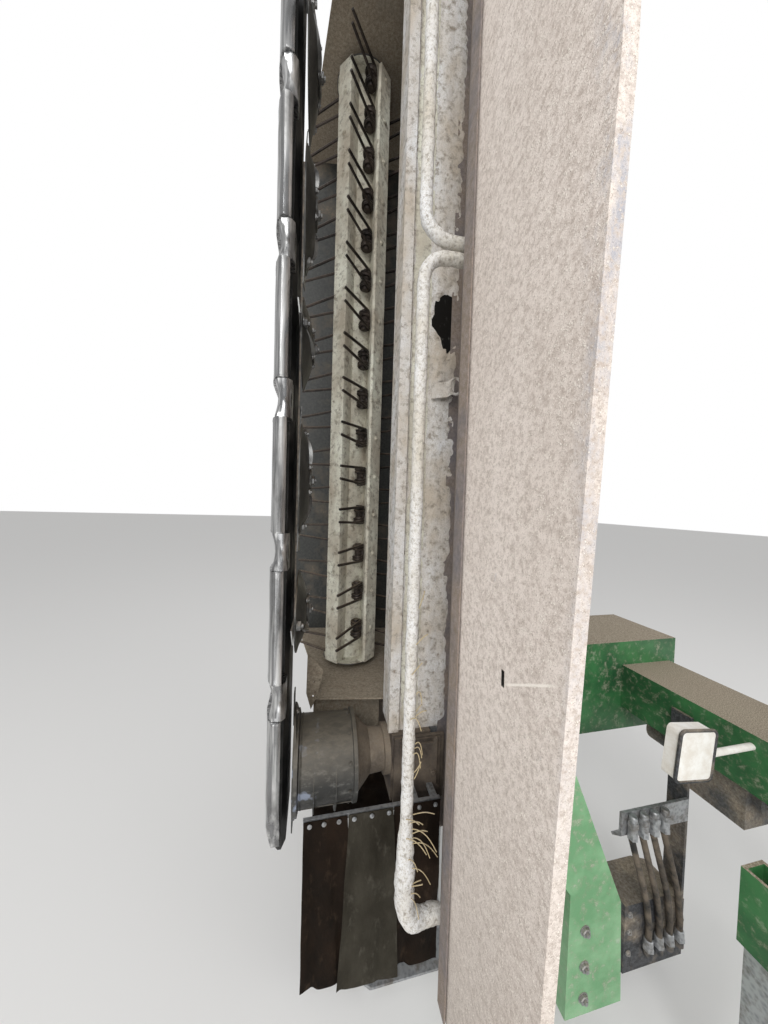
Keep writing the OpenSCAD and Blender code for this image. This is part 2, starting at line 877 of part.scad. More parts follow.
module disc_1() {
    disc_body(1);
    color(steel) on_wing() translate([0, 0, drum_w]) rotate([0, 90, 0]) {
        rotate_extrude($fn = 60) polygon([
            [drum_radius - 8, disc_floor + 4],
            [drum_radius + 20, disc_floor + 4],
            [drum_radius + 20, disc_floor + 16],
            [drum_radius + 2, disc_floor + 20],
            [drum_radius - 2, drum_top - 14],
            [drum_radius + 6, drum_top - 12],
            [drum_radius + 6, drum_top],
            [drum_radius - 8, drum_top]
        ]);
        for (fin = drum_fins) {
            translate([0, 0, fin]) linear_extrude(height = 4) difference() {
                translate([16, 0]) circle(r = drum_radius + 6, $fn = 60);
                circle(r = drum_radius - 4, $fn = 60);
            }
        }
    }
}

module disc_2() {
    disc_body(2);
}

module disc_3() {
    disc_body(3);
}

module disc_4() {
    disc_body(4);
}

module disc_5() {
    disc_body(5);
}

module disc_6() {
    disc_body(6);
}

module disc_7() {
    disc_body(7);
}

module wing_gearbox() {
    right = front_leg_u - leg_side / 2 - 14;
    sleeve_back = -front_leg_v + leg_side / 2 + sleeve_wall + gap;
    color(dust) on_wing() {
        span([beam_low + 4, -70, -5], [right, 150, beam_start - gap]);
        span([right - 2, sleeve_back, 60], [hood_u - gap, 130, beam_start - 50]);
        span([beam_low + 12, -80, -8], [hood_u - 26, -69, beam_start - 8]);
        span([beam_low + 30, -85, drum_w - 115], [hood_u - 40, -79, drum_w + 78]);
    }
}

// fixed column inside the drum, widening to a cone above it
module drive_neck() {
    color(dust) on_wing() translate([0, 0, drum_w]) rotate([0, 90, 0]) rotate_extrude($fn = 60) polygon([
        [0, disc_dome + hub_step + clear],
        [30, disc_dome + hub_step + clear],
        [30, drum_top - 30],
        [112, drum_top - 20],
        [112, drum_top + 6],
        [70, drum_top + 50],
        [66, beam_low - 18],
        [78, beam_low - 16],
        [78, beam_low + 4 - gap],
        [0, beam_low + 4 - gap]
    ]);
}

module rotor_bearings() {
    color(steel) on_wing() {
        for (w = [inner_plate_w - 20, outer_plate_w + sheet + gap]) {
            translate([rotor_u, rotor_v, w]) difference() {
                cylinder(r = 62, h = 19, $fn = fine);
                translate([0, 0, -1]) cylinder(r = 25 + running, h = 22, $fn = fine);
            }
        }
    }
}

module guard_slope() {
    back = -beam_front - gap;
    color(slate) on_wing() {
        prism(-guard_below, bar_length + guard_above, [
            [hood_u, -slope_run - guard_sheet],
            [hood_u, back],
            [hood_u - 40, back],
            [hood_u - 40, back - 3],
            slope_top,
            slope_foot,
            [slope_foot[0], flange_front],
            [flange_u, flange_front],
            [flange_u, -guard_bend + 5.4]
        ]);
        for (n = [0:guard_hinges - 1]) translate([0, 0, hinge_place(n)]) {
            translate([hinge_u, hinge_v, 0]) cylinder(r = hinge_pin, h = hinge_leaf, $fn = 24);
            translate([flange_u - 1, hinge_v, 0]) cube([hinge_u - flange_u + 1, 12, hinge_leaf]);
        }
    }
}

function hinge_place(n) = n * (bar_length - 2 * hinge_leaf) / (guard_hinges - 1);

module front_guard() {
    edge = hinge_v - hinge_pin - 3;
    low = -guard_below;
    mid = bar_length / 2;
    top = bar_length + guard_above;
    cut = guard_cut - guard_front;
    color(dust) on_wing() {
        plate_yz(guard_u, guard_sheet, [
            [edge, low],
            [edge, top],
            [-guard_front, top],
            [-guard_front, mid],
            [cut, low]
        ]);
        plate_yz(guard_u, 22, [
            [cut, low],
            [cut + guard_sheet, low],
            [-guard_front + guard_sheet, mid],
            [-guard_front + guard_sheet, top],
            [-guard_front, top],
            [-guard_front, mid]
        ]);
        for (n = [0:guard_hinges - 1]) translate([0, 0, hinge_place(n) + hinge_leaf + 2]) {
            translate([hinge_u, hinge_v, 0]) cylinder(r = hinge_pin, h = hinge_leaf, $fn = 24);
            translate([guard_u, edge - 2, 0]) cube([4, hinge_pin + 5, hinge_leaf]);
        }
    }
}

// height of the sloped guard's inner face at a place v
function slope_inside(v) = slope_foot[0] - gap
    + (v - slope_foot[1]) * (slope_top[0] - slope_foot[0]) / (slope_top[1] - slope_foot[1]);

// tube with its ends turned up to the sloped guard, where they are cut to its slope
module guard_tube_run(w0, w1) {
    turn = 60;
    difference() {
        union() {
            translate([tube_u, -tube_v, w0 + turn]) cylinder(r = guard_tube, h = w1 - w0 - 2 * turn, $fn = fine);
            for (end = [0, 1]) {
                translate([tube_u + turn, -tube_v, end == 0 ? w0 + turn : w1 - turn]) {
                    rotate([90, 0, 0]) rotate([0, 0, end == 0 ? 180 : 90]) {
                        rotate_extrude(angle = 90, $fn = fine) translate([turn, 0]) circle(r = guard_tube, $fn = fine);
                    }
                }
                rod_u([tube_u + turn, -tube_v, end == 0 ? w0 : w1], guard_tube, guard_u - tube_u);
            }
        }
        prism(w0 - 50, w1 + 50, [
            [slope_inside(-guard_bend), -guard_bend],
            [slope_inside(0), 0],
            [hood_u + 100, 0],
            [hood_u + 100, -guard_bend]
        ]);
    }
}

module guard_tubes() {
    mid = bar_length / 2;
    color(dust) on_wing() {
        guard_tube_run(-10, mid + 75);
        guard_tube_run(mid + 112, bar_length - 20);
    }
}

module curtain_rail() {
    color(steel) on_wing() {
        span([45, curtain_v + curtain_thick + gap, 44], [hood_u - 64, curtain_v + 17, 60]);
        for (u = [beam_low + 60, hood_u - 90]) span([u, curtain_v + 16, 46], [u + 20, -85 - gap, 58]);
    }
}

module side_curtain() {
    color(brown) on_wing() {
        for (panel = curtain_panels) {
            span([panel[0], curtain_v, panel[2]], [panel[1], curtain_v + curtain_thick, curtain_top]);
        }
    }
}

module sleeve(u, v, top) {
    outer = leg_side / 2 + sleeve_wall;
    difference() {
        span([u - outer, v - outer, -20], [u + outer, v + outer, top]);
        span([u - leg_hole, v - leg_hole, -30], [u + leg_hole, v + leg_hole, top + 10]);
    }
}

module leg_sleeves() {
    color(steel) on_wing() {
        sleeve(front_leg_u, -front_leg_v, beam_start - gap);
        sleeve(rear_leg_u, rear_leg_v, inner_plate_w - gap);
    }
}

module wing_leg_front() {
    color(steel) on_ground() translate([front_leg_u, -front_leg_v, 0]) {
        stand_leg(inner_height + beam_start - 197, long_reach, foot_half - 42, -curtain_v - curtain_thick - clear - front_leg_v);
    }
}

module wing_leg_rear() {
    color(steel) on_ground() translate([rear_leg_u, rear_leg_v, 0]) stand_leg(inner_height + 50);
}

module outer_guard() {
    far = hood_u + arm_gap + arm_width + 10;
    color(slate) on_wing() {
        span([hood_u + 18, -guard_bend, outer_hinge_w - 2], [far, 300, outer_hinge_w + 2]);
        span([far - 4, -guard_bend, outer_hinge_w], [far, 300, outer_hinge_w + 50]);
        for (v = outer_hinges) {
            rod_v([hood_u + 9, v + hinge_leaf + 2, outer_hinge_w], hinge_pin - 1, hinge_leaf);
            span(
                [hood_u + 11, v + hinge_leaf + 2, outer_hinge_w - 2],
                [hood_u + 20, v + 2 * hinge_leaf + 2, outer_hinge_w + 2]
            );
        }
    }
}

module swath_board(w) {
    translate([0, 0, w]) {
        rod_u([board_low - 28, board_v, 0], 12, hood_u - board_low - 42);
        span([board_low, board_v + 10, -3], [hood_u - 98, board_v + board_length, 3]);
    }
}

module swath_board_inner() {
    color(slate) on_wing() swath_board(inner_plate_w + 60);
}

module swath_board_outer() {
    color(slate) on_wing() swath_board(outer_plate_w - 60);
}

// section of a rail: a broad face on a leaning web that clears the coils beside it
module rail_section(inset) {
    polygon([
        [rail_face - inset, inset - rail_half],
        [rail_face - inset, rail_half - inset],
        [rail_face - 14 + inset / 3, rail_half - inset],
        [rotor_tube - 6 + inset * 2, 22 - inset / 2],
        [rotor_tube - 6 + inset * 2, 6 + inset],
        [rail_face - 14 + inset / 3, inset - rail_half]
    ]);
}

module rotor_core() {
    long = rotor_end - rotor_start;
    color(dust) on_wing() translate([rotor_u, rotor_v, 0]) {
        difference() {
            union() {
                translate([0, 0, rotor_start]) cylinder(r = rotor_tube, h = long, $fn = fine);
                for (row = [0:tine_rows - 1]) rotate([0, 0, row * 360 / tine_rows + rail_turn]) {
                    translate([0, 0, rotor_start + 4]) linear_extrude(height = long - 8) rail_section(0);
                }
            }
            translate([0, 0, rotor_start + 6]) cylinder(r = rotor_tube - 7, h = long - 12, $fn = fine);
            for (row = [0:tine_rows - 1]) rotate([0, 0, row * 360 / tine_rows + rail_turn]) {
                translate([0, 0, rotor_start + 10]) linear_extrude(height = long - 20) rail_section(6);
            }
        }
        for (end = [[inner_plate_w - 18, rotor_start + 6], [rotor_end - 6, outer_plate_w + sheet + 18]]) {
            translate([0, 0, end[0]]) cylinder(r = 25, h = end[1] - end[0], $fn = fine);
        }
        for (w = [rotor_start, rotor_end - 5]) translate([0, 0, w]) cylinder(r = 118, h = 5, $fn = fine);
    }
}

// two coils side by side on the rotor tube, each with one long tine
module tine_unit() {
    seat = rotor_tube + coil_radius + gap;
    tip = tine_reach - tine_wire;
    coil = (coil_length - coil_gap) / 2;
    translate([seat, 0, -coil_length / 2]) {
        cylinder(r = coil_radius, h = coil, $fn = 32);
        translate([0, 0, coil - 2]) cylinder(r = coil_radius * 0.6, h = coil_gap + 4, $fn = 32);
        translate([0, 0, coil + coil_gap]) cylinder(r = coil_radius, h = coil, $fn = 32);
    }
    for (side = [-1, 1]) {
        foot = side * (coil_length / 2 - tine_wire);
        strut(
            [seat + 8, coil_radius - tine_wire, foot],
            [tip * cos(tine_lean), -tip * sin(tine_lean), foot - side * tine_toe],
            tine_wire
        );
    }
}

module rotor_tines() {
    color(black) on_wing() translate([rotor_u, rotor_v, 0]) {
        for (row = [0:tine_rows - 1]) rotate([0, 0, row * 360 / tine_rows + row_turn]) {
            for (n = [0:tine_count - 1]) {
                first = rotor_start + tine_first + (row % 2) * tine_pitch / 2;
                translate([0, 0, first + n * tine_pitch]) tine_unit();
            }
        }
    }
}

headstock_frame();
link_pins();
pivot_carrier();
pivot_gusset();
main_gearbox();
pto_stub();
valve_box();
hose_bracket();
hydraulic_hoses();
work_lamp();
leg_left();
leg_right();
cylinder_barrel();
cylinder_rod();
lift_arm();
wing_hanger();
main_beam();
hood_top();
inner_end_plate();
outer_end_plate();
rear_deflector();
cutterbar();
skids();
wing_gearbox();
drive_neck();
rotor_bearings();
guard_slope();
guard_tubes();
curtain_rail();
side_curtain();
leg_sleeves();
wing_leg_front();
wing_leg_rear();
front_guard();
outer_guard();
swath_board_inner();
swath_board_outer();
rotor_core();
rotor_tines();
disc_1();
disc_2();
disc_3();
disc_4();
disc_5();
disc_6();
disc_7();
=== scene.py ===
"""Disc mower conditioner with its wing folded upright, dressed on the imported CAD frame."""
import math
import random

import bpy
from mathutils import Matrix, Vector, noise


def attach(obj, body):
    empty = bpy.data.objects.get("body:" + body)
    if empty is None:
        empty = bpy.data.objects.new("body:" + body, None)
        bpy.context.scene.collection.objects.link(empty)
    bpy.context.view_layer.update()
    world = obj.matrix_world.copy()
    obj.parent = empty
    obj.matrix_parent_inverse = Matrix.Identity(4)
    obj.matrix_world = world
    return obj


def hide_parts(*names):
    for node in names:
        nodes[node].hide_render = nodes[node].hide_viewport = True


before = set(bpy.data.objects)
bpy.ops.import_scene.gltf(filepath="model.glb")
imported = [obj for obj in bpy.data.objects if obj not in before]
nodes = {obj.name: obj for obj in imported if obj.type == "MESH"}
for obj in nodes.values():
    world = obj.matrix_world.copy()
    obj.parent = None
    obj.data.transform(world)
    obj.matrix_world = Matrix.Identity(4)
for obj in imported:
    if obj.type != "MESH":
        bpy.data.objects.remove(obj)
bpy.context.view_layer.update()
scene = bpy.context.scene

# Wing frame, in millimetres: u above the disc plane, v rearward, w along the bar.
ORIGIN_U = 907.75
ORIGIN_V = 199.0
INNER = 540.0
DISC_PITCH = 430.0
DRUM_W = 130.0
DRUM_RADIUS = 130.0
DISC_COUNT = 7
BAR_LENGTH = DISC_COUNT * DISC_PITCH
DISC_RADIUS = 178.0
KNIFE_REACH = 236.0
KNIFE_ROOT = 146.0
KNIFE_PIN = 152.0
FIRST_SKID = -30.0
SKID_HALF = 161.0
DRUM_TOP = 210.0
ROTOR_U = 234.0
ROTOR_V = 420.0
ROTOR_START = 285.0
ROTOR_END = 2891.0
TINE_PITCH = 172.0
TINE_SEAT = 88.2
RAIL_FACE = 124.0
ROW_TURN = 12.0
GUARD_U = 370.0
BEAM_FRONT = 50.0
BEAM_LOW = 326.0
BEAM_START = 222.0
BEAM_STEP = 432.0
BEAM_END = 2960.0
SHIELD_V = 160.0
TUBE_U = 290.0
TUBE_V = 380.0
CURTAIN_V = -160.0
CURTAIN_TOP = 58.0
PIVOT_U = 640.0
HOSE_U = 1050.0
HOSE_STEP = 42.0
CENTRE_U = 1420.0

# columns: middle in u and w, reach in u and w
BEAM_HOLES = ((490, 1632, 74, 118), (486, 1402, 40, 30))


def P(u, v, w):
    """Wing point in millimetres to the row frame in metres."""
    return Vector(((u - ORIGIN_U) / 1000, (v - ORIGIN_V) / 1000, (w + INNER) / 1000))


def G(u, v, z):
    """Point by its height above the ground in millimetres to the row frame in metres."""
    return P(u, v, z - INNER)


# camera at the photograph's viewpoint
CAM_PLACE = (58, -1096, 1007.5)
CAM_TURN = -12.2
CAM_PITCH = 90 - 1.65
CAM_ROLL = 1.7
cam_data = bpy.data.cameras.new("camera")
cam_data.sensor_width = 36
cam_data.lens = 11.25
cam_data.clip_start = 0.02
cam = bpy.data.objects.new("camera", cam_data)
scene.collection.objects.link(cam)
turn = Matrix.Rotation(math.radians(CAM_TURN), 4, "Z")
pitch = Matrix.Rotation(math.radians(CAM_PITCH), 4, "X")
roll = Matrix.Rotation(math.radians(CAM_ROLL), 4, "Z")
cam.matrix_world = Matrix.Translation(P(*CAM_PLACE)) @ turn @ pitch @ roll
scene.camera = cam
scene.view_settings.view_transform = "Standard"


# materials


class Shader:
    """Short names for building one node material."""

    def __init__(self, name):
        self.mat = bpy.data.materials.new(name)
        self.mat.use_nodes = True
        self.tree = self.mat.node_tree
        self.out = self.tree.nodes["Principled BSDF"]
        self.coord = self.tree.nodes.new("ShaderNodeTexCoord").outputs["Object"]

    def node(self, kind, **values):
        n = self.tree.nodes.new(kind)
        for key, value in values.items():
            setattr(n, key, value)
        return n

    def join(self, source, target):
        self.tree.links.new(source, target)

    def put(self, value, socket):
        """Sets a socket from another socket, a colour or a number."""
        if hasattr(value, "is_output"):
            self.join(value, socket)
        elif isinstance(value, tuple) and len(value) == 3 and socket.type == "RGBA":
            socket.default_value = (*value, 1)
        else:
            socket.default_value = value

    def noise(self, scale, detail=6, rough=0.6, stretch=(1, 1, 1), shift=0.0):
        """Noise from 0 to 1; stretch scales it along each axis, shift picks another part of it."""
        place = self.node("ShaderNodeMapping")
        place.inputs["Scale"].default_value = stretch
        place.inputs["Location"].default_value = (shift, shift * 0.7, shift * 1.3)
        self.join(self.coord, place.inputs["Vector"])
        n = self.node("ShaderNodeTexNoise")
        n.inputs["Scale"].default_value = scale
        n.inputs["Detail"].default_value = detail
        n.inputs["Roughness"].default_value = rough
        self.join(place.outputs[0], n.inputs["Vector"])
        return n.outputs["Fac"]

    def cells(self, scale, shift=0.0):
        """Distance to the nearest grain's middle."""
        place = self.node("ShaderNodeMapping")
        place.inputs["Location"].default_value = (shift, shift, shift)
        self.join(self.coord, place.inputs["Vector"])
        n = self.node("ShaderNodeTexVoronoi")
        n.inputs["Scale"].default_value = scale
        self.join(place.outputs[0], n.inputs["Vector"])
        return n.outputs["Distance"]

    def ramp(self, value, low, high, start=0.0, end=1.0):
        """Runs from start to end as value runs from low to high."""
        n = self.node("ShaderNodeMapRange")
        n.inputs["From Min"].default_value = low
        n.inputs["From Max"].default_value = high
        n.inputs["To Min"].default_value = start
        n.inputs["To Max"].default_value = end
        self.join(value, n.inputs["Value"])
        return n.outputs[0]

    def math(self, kind, a, b=0.0):
        n = self.node("ShaderNodeMath", operation=kind)
        self.put(a, n.inputs[0])
        self.put(b, n.inputs[1])
        return n.outputs[0]

    def mix(self, factor, a, b):
        """Colour a where factor is 0, b where it is 1."""
        n = self.node("ShaderNodeMix", data_type="RGBA")
        self.put(factor, n.inputs["Factor"])
        self.put(a, n.inputs["A"])
        self.put(b, n.inputs["B"])
        return n.outputs["Result"]

    def axis(self, which, source=None):
        n = self.node("ShaderNodeSeparateXYZ")
        self.join(source or self.coord, n.inputs[0])
        return n.outputs[which]

    def facing_up(self):
        """1 on a face that looks up, 0 on an upright one."""
        n = self.node("ShaderNodeNewGeometry")
        return self.axis("Z", n.outputs["Normal"])

    def band(self, which, centre, half):
        """1 inside a band of the row frame, in metres, with a soft edge."""
        off = self.math("ABSOLUTE", self.math("SUBTRACT", self.axis(which), centre))
        return self.ramp(off, half * 1.25, half * 0.75)

    def bump(self, height, strength, distance=0.004, under=None):
        n = self.node("ShaderNodeBump")
        n.inputs["Strength"].default_value = strength
        n.inputs["Distance"].default_value = distance
        self.join(height, n.inputs["Height"])
        if under is not None:
            self.join(under, n.inputs["Normal"])
        return n.outputs[0]

    def finish(self, color, rough, metal=0.0, normal=None, specular=0.4):
        self.put(color, self.out.inputs["Base Color"])
        self.put(rough, self.out.inputs["Roughness"])
        self.put(metal, self.out.inputs["Metallic"])
        self.out.inputs["Specular IOR Level"].default_value = specular
        if normal is not None:
            self.join(normal, self.out.inputs["Normal"])
        return self.mat


DUST = (0.235, 0.185, 0.135)
DUST_PALE = (0.43, 0.37, 0.29)
DUST_DARK = (0.12, 0.092, 0.066)
PALEST = 0.86


def dusted(name, base, worn, amount, scale=5.0, metal=0.0, rough=0.55, grain=0.35, pale=DUST_PALE):
    """Paint or metal under patchy dust, thicker on what faces up."""
    s = Shader(name)
    broad = s.noise(scale, 5, 0.62)
    fine = s.noise(scale * 14, 6, 0.7, shift=3)
    grit = s.noise(scale * 90, 3, 0.6, shift=7)
    paint = s.mix(s.ramp(fine, 0.42, 0.62), base, worn)
    dirt = s.mix(s.ramp(fine, 0.36, 0.64), DUST, pale)
    dirt = s.mix(s.ramp(grit, 0.52, 0.66), dirt, DUST_DARK)
    settle = s.math("MULTIPLY", s.ramp(s.facing_up(), 0.1, 0.9), 0.55)
    cover = s.math("ADD", s.ramp(broad, 0.62 - amount * 0.42, 0.86 - amount * 0.42), settle)
    cover = s.math("MULTIPLY", cover, s.ramp(grit, 0.3, 0.5, 0.55, 1.0))
    cover = s.math("MINIMUM", cover, 0.97)
    color = s.mix(cover, paint, dirt)
    roughness = s.mix(cover, (rough,) * 3, (0.92,) * 3)
    height = s.math("ADD", s.math("MULTIPLY", fine, 0.7), s.math("MULTIPLY", grit, 0.35))
    normal = s.bump(height, grain, 0.004)
    metallic = s.math("MULTIPLY", s.math("SUBTRACT", 1.0, cover), metal)
    return s.finish(color, roughness, metallic, normal)


def guard_panel():
    """Blue-grey sheet under fine pinkish dust with pale grains, bare patches and one scratch."""
    s = Shader("guard_panel")
    broad = s.noise(2.2, 5, 0.6, (1, 1, 0.45))
    mottled = s.noise(120, 4, 0.65, shift=2)
    grit = s.noise(420, 2, 0.6, shift=5)
    flecks = s.cells(210, 1.0)
    small = s.cells(430, 4.0)
    dust = s.mix(s.ramp(broad, 0.35, 0.68), (0.64, 0.56, 0.50), (0.79, 0.71, 0.65))
    dust = s.mix(s.ramp(mottled, 0.42, 0.66, 0, 0.7), dust, (0.38, 0.315, 0.27))
    # Darker towards the bottom of the panel.
    dust = s.mix(s.ramp(s.axis("Z"), 0.3, 1.3, 0.50, 0.0), dust, (0.36, 0.325, 0.285))
    pick = s.math("MULTIPLY", s.ramp(flecks, 0.34, 0.20), s.ramp(s.noise(90, 2, 0.5, shift=9), 0.46, 0.56))
    clumps = s.ramp(s.noise(50, 2, 0.5, shift=19), 0.44, 0.56, 0.2, 0.9)
    tiny = s.math("MULTIPLY", s.ramp(small, 0.36, 0.22), clumps)
    pick = s.math("MAXIMUM", pick, tiny)
    dust = s.mix(pick, dust, (0.80, 0.74, 0.66))
    dust = s.mix(s.ramp(grit, 0.56, 0.70, 0, 0.6), dust, (0.25, 0.20, 0.17))
    bare = s.ramp(s.noise(7, 6, 0.74, (1, 1.6, 0.8), 12), 0.665, 0.74, 0.0, 0.7)
    front = s.ramp(s.axis("Y"), P(0, -750, 0).y, P(0, -792, 0).y)
    rubbed = s.math("MULTIPLY", front, s.ramp(s.noise(16, 6, 0.75, (1, 1, 0.35), 15), 0.46, 0.60))
    bare = s.math("MAXIMUM", bare, s.math("MULTIPLY", rubbed, 0.75))
    bare = s.math("MULTIPLY", bare, s.ramp(mottled, 0.62, 0.46))
    color = s.mix(bare, dust, (0.27, 0.30, 0.37))
    start, end = P(0, -636, 716), P(0, -739, 773)
    slope = (end.z - start.z) / (end.y - start.y)
    along = s.math("SUBTRACT", s.axis("Z"), s.math("MULTIPLY", s.axis("Y"), slope))
    off = s.math("ABSOLUTE", s.math("SUBTRACT", along, start.z - slope * start.y))
    scratch = s.math("MULTIPLY", s.ramp(off, 0.0030, 0.0012), s.band("Y", (start.y + end.y) / 2, 0.052))
    color = s.mix(s.math("MULTIPLY", scratch, 0.85), color, (0.90, 0.84, 0.76))
    height = s.math("ADD", s.math("MULTIPLY", mottled, 0.35), s.math("MULTIPLY", pick, 0.8))
    height = s.math("ADD", height, s.math("MULTIPLY", grit, 0.4))
    dents = s.noise(3.1, 2, 0.4, (1, 1, 0.5), 30)
    normal = s.bump(dents, 0.12, 0.02)
    normal = s.bump(height, 0.45, 0.0022, normal)
    return s.finish(color, s.mix(bare, (0.92,) * 3, (0.6,) * 3), 0.0, normal, 0.25)


def caked(name, tint, rough_scale=1.0):
    """Thick caked crop dust with lumps and cracks."""
    s = Shader(name)
    broad = s.noise(7, 6, 0.65, (1, 1, 0.6))
    lumps = s.noise(48 * rough_scale, 8, 0.72, shift=4)
    grit = s.noise(320, 3, 0.6, shift=6)
    shades = (DUST, DUST_PALE, DUST_DARK)
    tinted = [tuple(min(c * t, PALEST) for c, t in zip(shade, tint)) for shade in shades]
    color = s.mix(s.ramp(broad, 0.36, 0.66), tinted[0], tinted[1])
    color = s.mix(s.ramp(lumps, 0.50, 0.34), color, tinted[2])
    color = s.mix(s.ramp(grit, 0.50, 0.70, 0, 0.7), color, (0.50, 0.45, 0.36))
    height = s.math("ADD", lumps, s.math("MULTIPLY", grit, 0.35))
    normal = s.bump(height, 0.8, 0.008)
    return s.finish(color, 0.95, 0.0, normal, 0.2)


def polished():
    """Ground steel: bright streaks along the bar, partly grinding marks and partly painted highlights, dark
    film in patches.
    """
    s = Shader("polished_skid")
    streak_and_highlight = s.noise(30, 4, 0.55, (2.4, 2.4, 0.12))
    patch = s.noise(9, 5, 0.6, (1, 1, 0.5), 4)
    fine = s.noise(240, 2, 0.5, (1, 1, 0.05), 8)
    # Bright streaks: partly the steel's own grinding marks, partly painted highlights.
    color = s.mix(s.ramp(streak_and_highlight, 0.44, 0.66), (0.27, 0.272, 0.275), (0.80, 0.80, 0.79))
    color = s.mix(s.ramp(patch, 0.50, 0.66, 0, 0.75), color, (0.05, 0.047, 0.043))
    rough = s.ramp(streak_and_highlight, 0.3, 0.7, 0.20, 0.40)
    normal = s.bump(s.math("ADD", patch, s.math("MULTIPLY", fine, 0.08)), 0.35, 0.006)
    return s.finish(color, rough, s.ramp(patch, 0.5, 0.7, 1.0, 0.6), normal, 0.5)


def oily(name, base=(0.035, 0.035, 0.033), worn=(0.10, 0.098, 0.09), rough=0.38):
    """Dark steel with a sap film, rubbed brighter in places."""
    s = Shader(name)
    film = s.noise(13, 6, 0.65)
    scuff = s.noise(70, 5, 0.7, (1, 1, 0.4), 3)
    color = s.mix(s.ramp(film, 0.38, 0.62), base, worn)
    color = s.mix(s.ramp(scuff, 0.60, 0.72, 0, 0.6), color, (0.22, 0.215, 0.20))
    settle = s.math("MULTIPLY", s.ramp(s.facing_up(), 0.3, 0.9), s.ramp(scuff, 0.36, 0.6, 0.3, 0.8))
    color = s.mix(settle, color, DUST)
    roughness = s.ramp(film, 0.3, 0.7, rough - 0.1, rough + 0.22)
    normal = s.bump(s.math("ADD", film, s.math("MULTIPLY", scuff, 0.4)), 0.3, 0.004)
    return s.finish(color, roughness, 0.55, normal, 0.5)


def drum_steel():
    """Brushed dark grey sheet with bluish rubbed spots and dust on top."""
    s = Shader("drum_steel")
    broad = s.noise(10, 6, 0.68)
    smear = s.noise(60, 6, 0.72, (0.5, 1, 1), 3)
    color = s.mix(s.ramp(broad, 0.36, 0.66), (0.035, 0.035, 0.033), (0.085, 0.084, 0.078))
    color = s.mix(s.ramp(smear, 0.52, 0.70, 0, 0.7), color, (0.22, 0.216, 0.20))
    low_band = s.band("X", P(45, 0, 0).x, 0.05)
    spot = s.math("MULTIPLY", s.ramp(s.noise(24, 3, 0.5, shift=18), 0.58, 0.66), low_band)
    color = s.mix(s.math("MULTIPLY", spot, 0.8), color, (0.30, 0.34, 0.43))
    settle = s.math("MULTIPLY", s.ramp(s.facing_up(), 0.0, 0.8), s.ramp(smear, 0.34, 0.6, 0.45, 0.95))
    color = s.mix(settle, color, (0.155, 0.135, 0.105))
    normal = s.bump(s.math("ADD", broad, smear), 0.32, 0.004)
    return s.finish(color, s.ramp(smear, 0.3, 0.7, 0.42, 0.66), 0.35, normal, 0.45)


def curtain_cloth(name, dark, light, rubbed):
    """Coated curtain, stained darker, with a fine weave."""
    s = Shader(name)
    stain = s.noise(6, 6, 0.66, (1, 1, 0.6))
    crease = s.noise(30, 5, 0.7, (1, 1, 0.5), 5)
    weave = s.noise(900, 1, 0.3, shift=2)
    color = s.mix(s.ramp(stain, 0.36, 0.66), dark, light)
    color = s.mix(s.ramp(crease, 0.55, 0.72, 0, 0.6), color, rubbed)
    height = s.math("ADD", crease, s.math("MULTIPLY", weave, 0.08))
    return s.finish(color, 0.9, 0.0, s.bump(height, 0.5, 0.006), 0.12)


def green_paint(name, dark, light, scuff):
    """Green paint: bright where rubbed, dark and dusty elsewhere."""
    s = Shader(name)
    broad = s.noise(4.5, 6, 0.66)
    fine = s.noise(46, 6, 0.72, shift=3)
    grit = s.noise(330, 2, 0.6, shift=9)
    paint = s.mix(s.ramp(broad, 0.38, 0.62), dark, light)
    paint = s.mix(s.ramp(fine, 0.56, 0.72, 0, 0.7), paint, scuff)
    settle = s.math("MULTIPLY", s.ramp(s.facing_up(), 0.05, 0.8), 0.95)
    cover = s.math("MULTIPLY", s.ramp(fine, 0.50, 0.72), s.ramp(broad, 0.66, 0.40, 0.05, 0.7))
    cover = s.math("MINIMUM", s.math("ADD", settle, cover), 0.96)
    dirt = s.mix(s.ramp(grit, 0.45, 0.6), DUST, DUST_PALE)
    color = s.mix(cover, paint, dirt)
    normal = s.bump(s.math("ADD", fine, s.math("MULTIPLY", grit, 0.3)), 0.25, 0.003)
    return s.finish(color, s.mix(cover, (0.42,) * 3, (0.9,) * 3), 0.0, normal, 0.45)


def galvanised():
    """Dull zinc with spangle and stains."""
    s = Shader("galvanised")
    spangle = s.cells(90)
    stain = s.noise(18, 6, 0.7)
    color = s.mix(s.ramp(spangle, 0.1, 0.6), (0.26, 0.27, 0.28), (0.42, 0.43, 0.44))
    color = s.mix(s.ramp(stain, 0.48, 0.66, 0, 0.8), color, (0.15, 0.125, 0.10))
    normal = s.bump(stain, 0.2, 0.003)
    return s.finish(color, s.ramp(stain, 0.35, 0.65, 0.35, 0.7), 0.7, normal, 0.5)


def rubber():
    """Black hose cover under brown dust."""
    s = Shader("hose_rubber")
    dirt = s.noise(24, 6, 0.7)
    color = s.mix(s.ramp(dirt, 0.36, 0.6), (0.018, 0.017, 0.016), (0.155, 0.125, 0.095))
    return s.finish(color, s.ramp(dirt, 0.3, 0.7, 0.5, 0.85), 0.0, s.bump(dirt, 0.2, 0.002), 0.35)


def lens_glass():
    """Cream, dust-filmed lamp lens with a fine grain."""
    s = Shader("lamp_lens")
    film = s.noise(30, 6, 0.7)
    color = s.mix(s.ramp(film, 0.36, 0.62), (0.78, 0.73, 0.66), (0.92, 0.90, 0.86))
    return s.finish(color, 0.45, 0.0, s.bump(film, 0.2, 0.002), 0.5)


